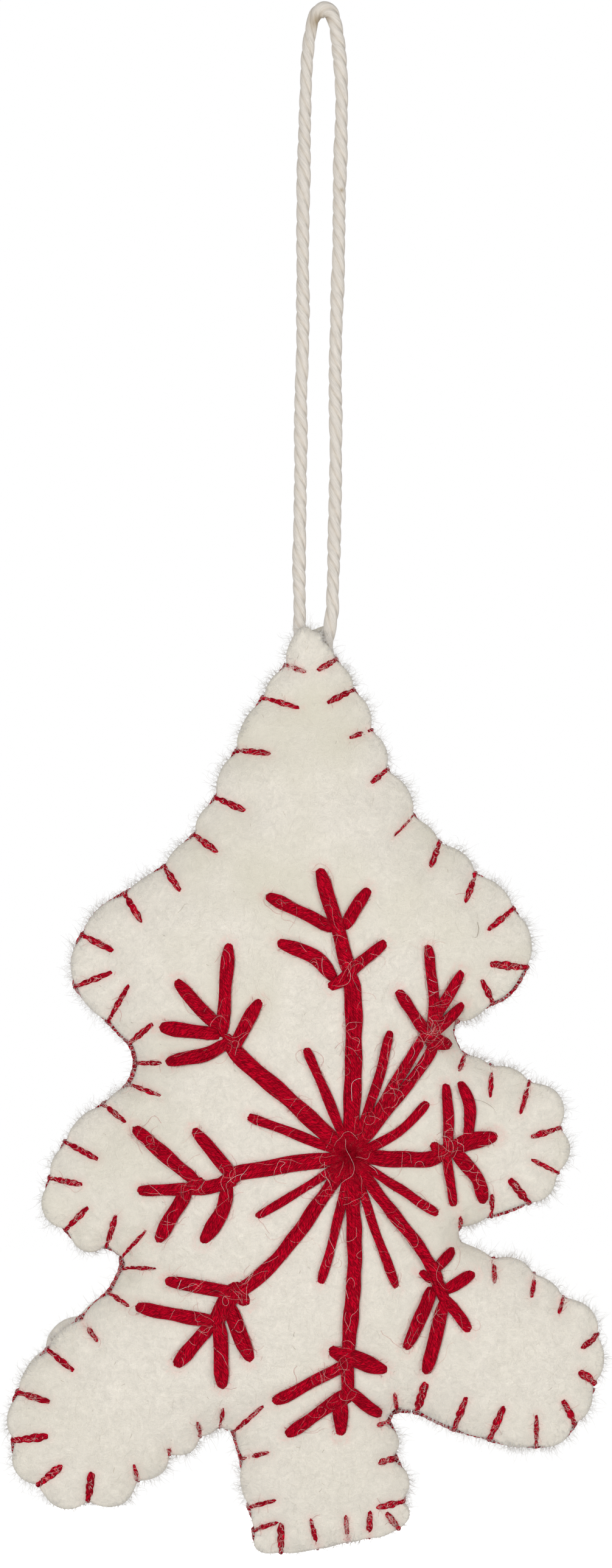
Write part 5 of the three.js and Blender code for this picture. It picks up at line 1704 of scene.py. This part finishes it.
def hair_tubes(lines, radii):
    """Three-sided tapering tubes along many short lines, each with the same number of points."""
    count, stations = lines.shape[:2]
    along = np.gradient(lines, axis=1)
    along /= np.maximum(np.linalg.norm(along, axis=2), TINY)[:, :, None]
    guide = np.where(np.abs(along[:, :, 1:2]) > 0.8, [1.0, 0.0, 0.0], [0.0, 1.0, 0.0])
    side = np.cross(guide, along)
    side /= np.maximum(np.linalg.norm(side, axis=2), TINY)[:, :, None]
    other = np.cross(along, side)
    taper = radii[:, None] * np.sin(np.linspace(*HAIR_TAPER, stations) * math.pi)[None]
    rings = []
    for corner in range(HAIR_SIDES):
        angle = corner * 2 * math.pi / HAIR_SIDES
        rings.append(lines + (math.cos(angle) * side + math.sin(angle) * other) * taper[:, :, None])
    vertices = np.stack(rings, axis=2).reshape(-1, 3)
    base = np.arange(count)[:, None, None] * stations * HAIR_SIDES
    pattern = []
    for station in range(stations - 1):
        for corner in range(HAIR_SIDES):
            after = (corner + 1) % HAIR_SIDES
            a, b = station * HAIR_SIDES, (station + 1) * HAIR_SIDES
            pattern.append((a + corner, a + after, b + after, b + corner))
    quads = (base + np.array(pattern)[None]).reshape(-1, 4).tolist()
    last = (stations - 1) * HAIR_SIDES
    ends = (base + np.array([(2, 1, 0), (last, last + 1, last + 2)])[None]).reshape(-1, 3).tolist()
    return vertices, quads + ends


def curled(chooser, roots, ways, lengths, stations, curl):
    """Lines that leave their roots along the given ways and bend more and more."""
    step = lengths / (stations - 1)
    axis = chooser.normal(size=roots.shape)
    axis /= np.linalg.norm(axis, axis=1)[:, None]
    speed = chooser.normal(0, curl, len(roots)) + np.sign(chooser.normal(size=len(roots))) * curl * 0.4
    spot, way = roots.copy(), ways.copy()
    lines = [spot.copy()]
    for _ in range(1, stations):
        spot = spot + way * step[:, None]
        lines.append(spot.copy())
        way = way + np.cross(axis, way) * (speed * step)[:, None]
        way /= np.linalg.norm(way, axis=1)[:, None]
        speed = speed + chooser.normal(0, curl * 0.5, len(roots))
    return np.stack(lines, axis=1)


def wandering(chooser, roots, headings, lengths, stations, curl):
    """Flat lines on the face that bend softly one way and the other, each centred on its root."""
    step = lengths / (stations - 1)
    bend = chooser.normal(0, curl, len(roots))
    heading = headings.copy()
    spot = np.zeros_like(roots)
    lines = [spot.copy()]
    for _ in range(1, stations):
        spot = spot + np.stack([np.cos(heading), np.sin(heading)], axis=1) * step[:, None]
        lines.append(spot.copy())
        heading = heading + bend * step
        bend = bend * 0.72 + chooser.normal(0, curl * 0.8, len(roots))
    lines = np.stack(lines, axis=1)
    return lines - lines.mean(1)[:, None] + roots[:, None]


def front_surface():
    """Everything that shows on the front, to lay loose hairs on."""
    points, polygons, count = [], [], 0
    for obj in bpy.context.scene.objects:
        on_front = obj.name == "front_panel" or obj.name.endswith("_floss")
        if on_front or obj.name.startswith("edge_thread_"):
            mesh = obj.data
            coordinates = np.zeros(len(mesh.vertices) * 3)
            mesh.vertices.foreach_get("co", coordinates)
            points.append(coordinates.reshape(-1, 3) / MM)
            polygons += [[k + count for k in polygon.vertices] for polygon in mesh.polygons]
            count += len(mesh.vertices)
    return BVHTree.FromPolygons([Vector(point) for point in np.vstack(points)], polygons)


def laid_on(tree, flat, above):
    """Flat lines dropped on the front, a little above what they lie on, without those that miss it."""
    heights = np.full(flat.shape[0] * flat.shape[1], np.nan)
    for k, (x, z) in enumerate(flat.reshape(-1, 2)):
        hit = tree.ray_cast(Vector((x, -RAY_START, z)), Vector((0, 1, 0)))
        if hit[0]:
            heights[k] = hit[0].y
    heights = heights.reshape(flat.shape[:2])
    good = ~np.isnan(heights).any(1)
    heights, flat = heights[good], flat[good]
    smooth = heights.copy()
    smooth[:, 1:-1] = (heights[:, :-2] + heights[:, 1:-1] + heights[:, 2:]) / 3
    heights = np.minimum(smooth, heights) - above
    return np.stack([flat[:, :, 0], heights, flat[:, :, 1]], axis=2)


def drawn_hairs(routes):
    """Routes in pattern squares as flat lines of equal numbers of points."""
    lines = []
    for route in routes:
        line = smooth_line(np.array([place(column, row) for column, row in route]), DRAWN_STEP)
        lines.append(line[np.linspace(0, len(line) - 1, DRAWN_POINTS).astype(int)])
    return np.array(lines)


def hair_piece(name, lines, chooser):
    """Hairs of one kind as a piece on the tree, each with a thickness and a tone of its own."""
    fibre, slot, thinnest, thickest = HAIR_KINDS[name]
    vertices, faces = hair_tubes(lines, chooser.uniform(thinnest, thickest, len(lines)))
    piece = mesh_object(name, vertices, faces)
    set_attribute(piece, "tone", np.repeat(chooser.uniform(0, 1, len(lines)), lines.shape[1] * HAIR_SIDES))
    dress(piece, material_once(fibre, fibre_finish))
    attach(piece, "tree")


def edge_hair_lines(shape, chooser, count, face):
    """Hairs that stand out round the edge in tufts, from a felt's shoulder or, for 0, the cut sides."""
    outward = outward_ways(shape.rim)
    noise = chooser.normal(size=(2, len(shape.rim) + TUFT_POINTS - 1))
    evening = np.ones(TUFT_POINTS) / math.sqrt(TUFT_POINTS)
    tufts, sweep = [np.convolve(row, evening, "valid") for row in noise]
    weights = np.abs(tufts) + 0.6
    index = chooser.choice(len(shape.rim), count, p=weights / weights.sum())
    way = outward[index]
    tangent = np.stack([-way[:, 1], way[:, 0]], axis=1)
    lean = way + tangent * (sweep[index] * 0.5 + chooser.normal(0, 0.35, count))[:, None]
    if face:
        spots = shape.rim[index] - way * np.abs(chooser.normal(0.2, 0.7, count))[:, None]
        height = face * (shape.height(spots, face) - 0.15)
        rise = face * chooser.uniform(-0.1, 0.5, count)
    else:
        spots = shape.rim[index] - way * 0.15
        height = chooser.uniform(-shape.half * 1.1, shape.half * 1.1, count)
        rise = chooser.normal(0, 0.3, count)
    roots = np.stack([spots[:, 0], height, spots[:, 1]], axis=1)
    ways = np.stack([lean[:, 0], rise, lean[:, 1]], axis=1)
    ways /= np.linalg.norm(ways, axis=1)[:, None]
    lengths = np.minimum(chooser.gamma(1.8, 0.55, count) + 0.4, LONGEST_EDGE_HAIR)
    return curled(chooser, roots, ways, lengths, stations=7, curl=1.0)


def scattered(shape, chooser, tries):
    """Chance places inside the outline, as many of the tries as fall there."""
    low, high = shape.rim.min(0), shape.rim.max(0)
    spots = chooser.uniform(low, high, (tries, 2))
    return spots[is_inside(spots, shape.rim)]


def face_hair_lines(shape, chooser, count, face):
    """Hairs matted over a felt's face."""
    spots = scattered(shape, chooser, count * 3)[:count]
    lengths = chooser.uniform(1.2, 3.6, len(spots))
    headings = chooser.uniform(0, 2 * math.pi, len(spots))
    flat = wandering(chooser, spots, headings, lengths, stations=FACE_POINTS, curl=0.35)
    inside = is_inside(flat.reshape(-1, 2), shape.rim).reshape(flat.shape[:2]).all(1)
    flat = flat[inside]
    height = shape.height(flat.reshape(-1, 2), face).reshape(flat.shape[:2])
    arched = chooser.uniform(-0.02, 0.05, len(flat))[:, None]
    arch = np.sin(np.linspace(0, math.pi, FACE_POINTS))[None] * arched
    return np.stack([flat[:, :, 0], face * (height + arch), flat[:, :, 1]], axis=2)


def stretches(shape):
    """Each straight stretch of floss: its start, its way, its length, the way across it and its width."""
    for start, stop, width in zip(shape.floss_starts, shape.floss_stops, shape.floss_widths):
        way = stop - start
        span = np.linalg.norm(way)
        yield start, way, span, np.array([-way[1], way[0]]) / max(span, TINY), width


def heading_of(way):
    return math.atan2(way[1], way[0])


def on_legs(shape, chooser, means, spread, turn):
    """Roots and headings of short hairs on the stitches' legs, about the mean number on each."""
    roots, headings = [], []
    for start, stop, mean in zip(shape.leg_feet, shape.leg_ends, means):
        way = stop - start
        for share in chooser.uniform(0, 1, chooser.poisson(mean)):
            roots.append(start + way * share + chooser.normal(0, spread, 2))
            headings.append(heading_of(way) + chooser.normal(0, turn))
    return roots, headings


def stray_hairs(shape, chooser):
    """Long hairs that lie loose over the floss and the legs, few of them near the centre."""
    roots, headings, lengths = [], [], []
    for start, way, span, across, width in stretches(shape):
        for _ in range(chooser.poisson(span / FLOSS_TO_HAIR)):
            root = start + way * chooser.uniform(0, 1) + across * chooser.normal(0, width * 0.35)
            near = np.linalg.norm(root - shape.centre) < CLEAR_REACH
            if near and chooser.uniform(0, 1) < CLEAR_SHARE:
                continue
            roots.append(root)
            headings.append(heading_of(way) + chooser.normal(0, 0.8))
            lengths.append(chooser.gamma(3.0, 1.3) + 1.2)
    for start, stop in zip(shape.leg_feet, shape.leg_ends):
        way = stop - start
        for _ in range(chooser.poisson(LEG_STRAYS)):
            roots.append(start + way * chooser.uniform(0, 1) + chooser.normal(0, 0.28, 2))
            headings.append(heading_of(way) + chooser.normal(0, 0.9))
            lengths.append(chooser.gamma(2.0, 0.8) + 0.8)
    lengths = np.minimum(lengths, LONGEST_STRAY_HAIR)
    return wandering(chooser, np.array(roots), np.array(headings), lengths, stations=16, curl=0.75)


def caught_hairs(shape, chooser):
    """Short pale hairs caught in the legs."""
    roots, headings = on_legs(shape, chooser, shape.leg_hairs, spread=0.26, turn=0.6)
    lengths = chooser.uniform(0.35, 1.0, len(roots))
    return wandering(chooser, np.array(roots), np.array(headings), lengths, stations=6, curl=2.0)


def thread_fuzz(shape, chooser):
    """Red fuzz along both sides of the floss and on the legs."""
    roots, headings = [], []
    for start, way, span, across, width in stretches(shape):
        for edge in (-1, 1):
            for share in chooser.uniform(0, 1, chooser.poisson(span * FLOSS_FUZZ)):
                reach = width * chooser.uniform(0.38, 0.56)
                roots.append(start + way * share + across * edge * reach)
                headings.append(heading_of(way) + edge * chooser.uniform(0.1, 1.3))
    means = [LEG_FUZZ] * len(shape.leg_feet)
    more_roots, more_headings = on_legs(shape, chooser, means, spread=0.22, turn=0.7)
    roots, headings = np.array(roots + more_roots), np.array(headings + more_headings)
    lengths = chooser.uniform(0.3, 0.8, len(roots))
    return wandering(chooser, roots, headings, lengths, stations=4, curl=1.2)


def dark_hairs(shape, chooser):
    """Short plain dark hairs scattered over the front, and a longer one."""
    spots = scattered(shape, chooser, DARK_TRIES)[:DARK_HAIRS]
    lengths = chooser.uniform(0.25, 1.0, len(spots))
    headings = chooser.uniform(0, 2 * math.pi, len(spots))
    square, lengths[0], headings[0] = LONG_DARK_HAIR
    spots[0] = place(*square)
    return wandering(chooser, spots, headings, lengths, stations=7, curl=0.9)


class ORNAMENT_OT_fibres(bpy.types.Operator):
    """Raises the loose hairs round the felt's edge, over its faces and across the red thread"""

    bl_idname = "ornament.fibres"
    bl_label = "Loose hairs"

    def execute(self, context):
        shape = tree_shape()
        chooser = np.random.default_rng(HAIR_SEED)
        for name, face in (("front_edge_hairs", -1), ("middle_edge_hairs", 0), ("back_edge_hairs", 1)):
            hair_piece(name, edge_hair_lines(shape, chooser, EDGE_HAIRS, face), chooser)
        for name, face, count in (("front_hairs", -1, FRONT_HAIRS), ("back_hairs", 1, BACK_HAIRS)):
            hair_piece(name, face_hair_lines(shape, chooser, count, face), chooser)
        tree = front_surface()
        for name, lines_of, above in (
            ("stray_hairs", stray_hairs, 0.04),
            ("caught_hairs", caught_hairs, 0.03),
            ("thread_fuzz", thread_fuzz, 0.03),
            ("dark_hairs", dark_hairs, 0.01),
        ):
            hair_piece(name, laid_on(tree, lines_of(shape, chooser), above), chooser)
        for name, routes in (("pale_hairs", PALE_HAIRS), ("dark_curls", DARK_CURLS)):
            hair_piece(name, laid_on(tree, drawn_hairs(routes), above=0.07), chooser)
        return {"FINISHED"}


# Stage


def aim(obj, target):
    obj.rotation_euler = (Vector(target) - obj.location).to_track_quat("-Z", "Y").to_euler()


def area_lamp(name, location, size, power):
    """A square lamp that shines on the middle of the ornament."""
    data = bpy.data.lights.new(name, "AREA")
    data.shape = "SQUARE"
    data.size = size
    data.energy = power
    lamp = bpy.data.objects.new(name, data)
    lamp.location = location
    bpy.context.scene.collection.objects.link(lamp)
    aim(lamp, LAMP_TARGET)


def seen_directly(tree):
    """A value of 1 for rays from the camera and for mirrored ones, else 0."""
    rays = tree.nodes.new("ShaderNodeLightPath")
    seen = tree.nodes.new("ShaderNodeMath")
    seen.operation = "MAXIMUM"
    tree.links.new(rays.outputs["Is Camera Ray"], seen.inputs[0])
    tree.links.new(rays.outputs["Is Glossy Ray"], seen.inputs[1])
    return seen.outputs["Value"]


def floor_finish(name):
    """A pale floor that shows white to the camera and keeps its shadow."""
    finish = Finish(name)
    glow = finish.node("ShaderNodeEmission")
    strength = finish.math("MULTIPLY", seen_directly(finish.tree), FLOOR_GLOW)
    finish.link(strength, glow.inputs["Strength"])
    both = finish.node("ShaderNodeAddShader")
    finish.link(finish.shader.outputs["BSDF"], both.inputs[0])
    finish.link(glow.outputs["Emission"], both.inputs[1])
    finish.link(both.outputs["Shader"], finish.tree.nodes["Material Output"].inputs["Surface"])
    return finish.done(grey(0.86), {"Roughness": 0.9, "Specular IOR Level": 0.1})


def photo_camera(distance):
    """The camera, straight in front of the middle of the photo."""
    column, row = ORIGIN_PIXEL
    x, z = (IMAGE_WIDTH / 2 - column) * PIXEL_SIZE, (row - IMAGE_HEIGHT / 2) * PIXEL_SIZE
    data = bpy.data.cameras.new("photo_camera")
    data.sensor_fit = "VERTICAL"
    data.sensor_height = 36
    data.lens = data.sensor_height * distance / (IMAGE_HEIGHT * PIXEL_SIZE)
    data.clip_end = 20
    camera = bpy.data.objects.new("photo_camera", data)
    camera.location = (x, -distance, z)
    bpy.context.scene.collection.objects.link(camera)
    aim(camera, (x, 0, z))
    return camera


def even_light(strength):
    """An even light from all round that looks white to the camera."""
    world = bpy.data.worlds.new("even_light")
    world.use_nodes = True
    tree = world.node_tree
    tree.nodes.clear()
    mix = tree.nodes.new("ShaderNodeMixShader")
    tree.links.new(seen_directly(tree), mix.inputs["Fac"])
    for socket, colour, power in ((1, (1.0, 0.99, 0.98, 1), strength), (2, (1, 1, 1, 1), 1.0)):
        light = tree.nodes.new("ShaderNodeBackground")
        light.inputs["Color"].default_value = colour
        light.inputs["Strength"].default_value = power
        tree.links.new(light.outputs["Background"], mix.inputs[socket])
    output = tree.nodes.new("ShaderNodeOutputWorld")
    tree.links.new(mix.outputs["Shader"], output.inputs["Surface"])
    return world


class ORNAMENT_OT_stage(bpy.types.Operator):
    """Sets up the camera, the lamps, the even light and the floor"""

    bl_idname = "ornament.stage"
    bl_label = "Stage"

    def execute(self, context):
        scene = context.scene
        settings = scene.ornament_stage
        scene.view_settings.view_transform = "Standard"
        scene.camera = photo_camera(settings.camera_distance)

        bpy.ops.object.select_all(action="DESELECT")
        bpy.ops.mesh.primitive_plane_add(size=1, location=(0, 0, settings.floor_height))
        floor = context.object
        floor.name = "floor"
        bpy.ops.object.mode_set(mode="EDIT")
        bpy.ops.mesh.select_all(action="SELECT")
        bpy.ops.transform.resize(value=(5, 5, 1))
        bpy.ops.object.mode_set(mode="OBJECT")
        bpy.ops.object.transform_apply(location=True, rotation=True, scale=True)
        floor.data.materials.append(floor_finish("pale_floor"))

        scene.world = even_light(settings.sky_strength)
        area_lamp("key_lamp", (-0.35, -1.0, -0.02), 0.5, settings.key_power)
        area_lamp("fill_lamp", (0.75, -0.6, -0.02), 0.5, settings.fill_power)
        area_lamp("back_lamp", (0.1, 0.95, 0.1), 0.9, settings.back_power)
        return {"FINISHED"}


class ORNAMENT_PT_panel(bpy.types.Panel):
    """Buttons and sizes of the ornament"""

    bl_idname = "ORNAMENT_PT_panel"
    bl_label = "Felt Tree Ornament"
    bl_space_type = "VIEW_3D"
    bl_region_type = "UI"
    bl_category = "Ornament"

    def draw(self, context):
        layout = self.layout
        for operator in OPERATORS:
            layout.operator(operator.bl_idname)
        for name in SETTINGS:
            settings = getattr(context.scene, name)
            box = layout.box()
            for value in settings.__annotations__:
                box.prop(settings, value)


OPERATORS = (
    ORNAMENT_OT_stage,
    ORNAMENT_OT_cord,
    ORNAMENT_OT_felt,
    ORNAMENT_OT_edge_stitches,
    ORNAMENT_OT_snowflake,
    ORNAMENT_OT_fibres,
)
SETTINGS = {
    "ornament_felt": FeltSettings,
    "ornament_thread": ThreadSettings,
    "ornament_cord": CordSettings,
    "ornament_stage": StageSettings,
}


def register():
    for cls in (*SETTINGS.values(), *OPERATORS, ORNAMENT_PT_panel):
        bpy.utils.register_class(cls)
    for name, cls in SETTINGS.items():
        setattr(bpy.types.Scene, name, bpy.props.PointerProperty(type=cls))


def unregister():
    for name in SETTINGS:
        delattr(bpy.types.Scene, name)
    for cls in (ORNAMENT_PT_panel, *reversed(OPERATORS), *reversed(tuple(SETTINGS.values()))):
        bpy.utils.unregister_class(cls)


def main():
    register()
    bpy.ops.ornament.stage()
    bpy.ops.ornament.cord()
    bpy.ops.ornament.felt()
    bpy.ops.ornament.edge_stitches()
    bpy.ops.ornament.snowflake()
    bpy.ops.ornament.fibres()


if __name__ == "__main__":
    main()
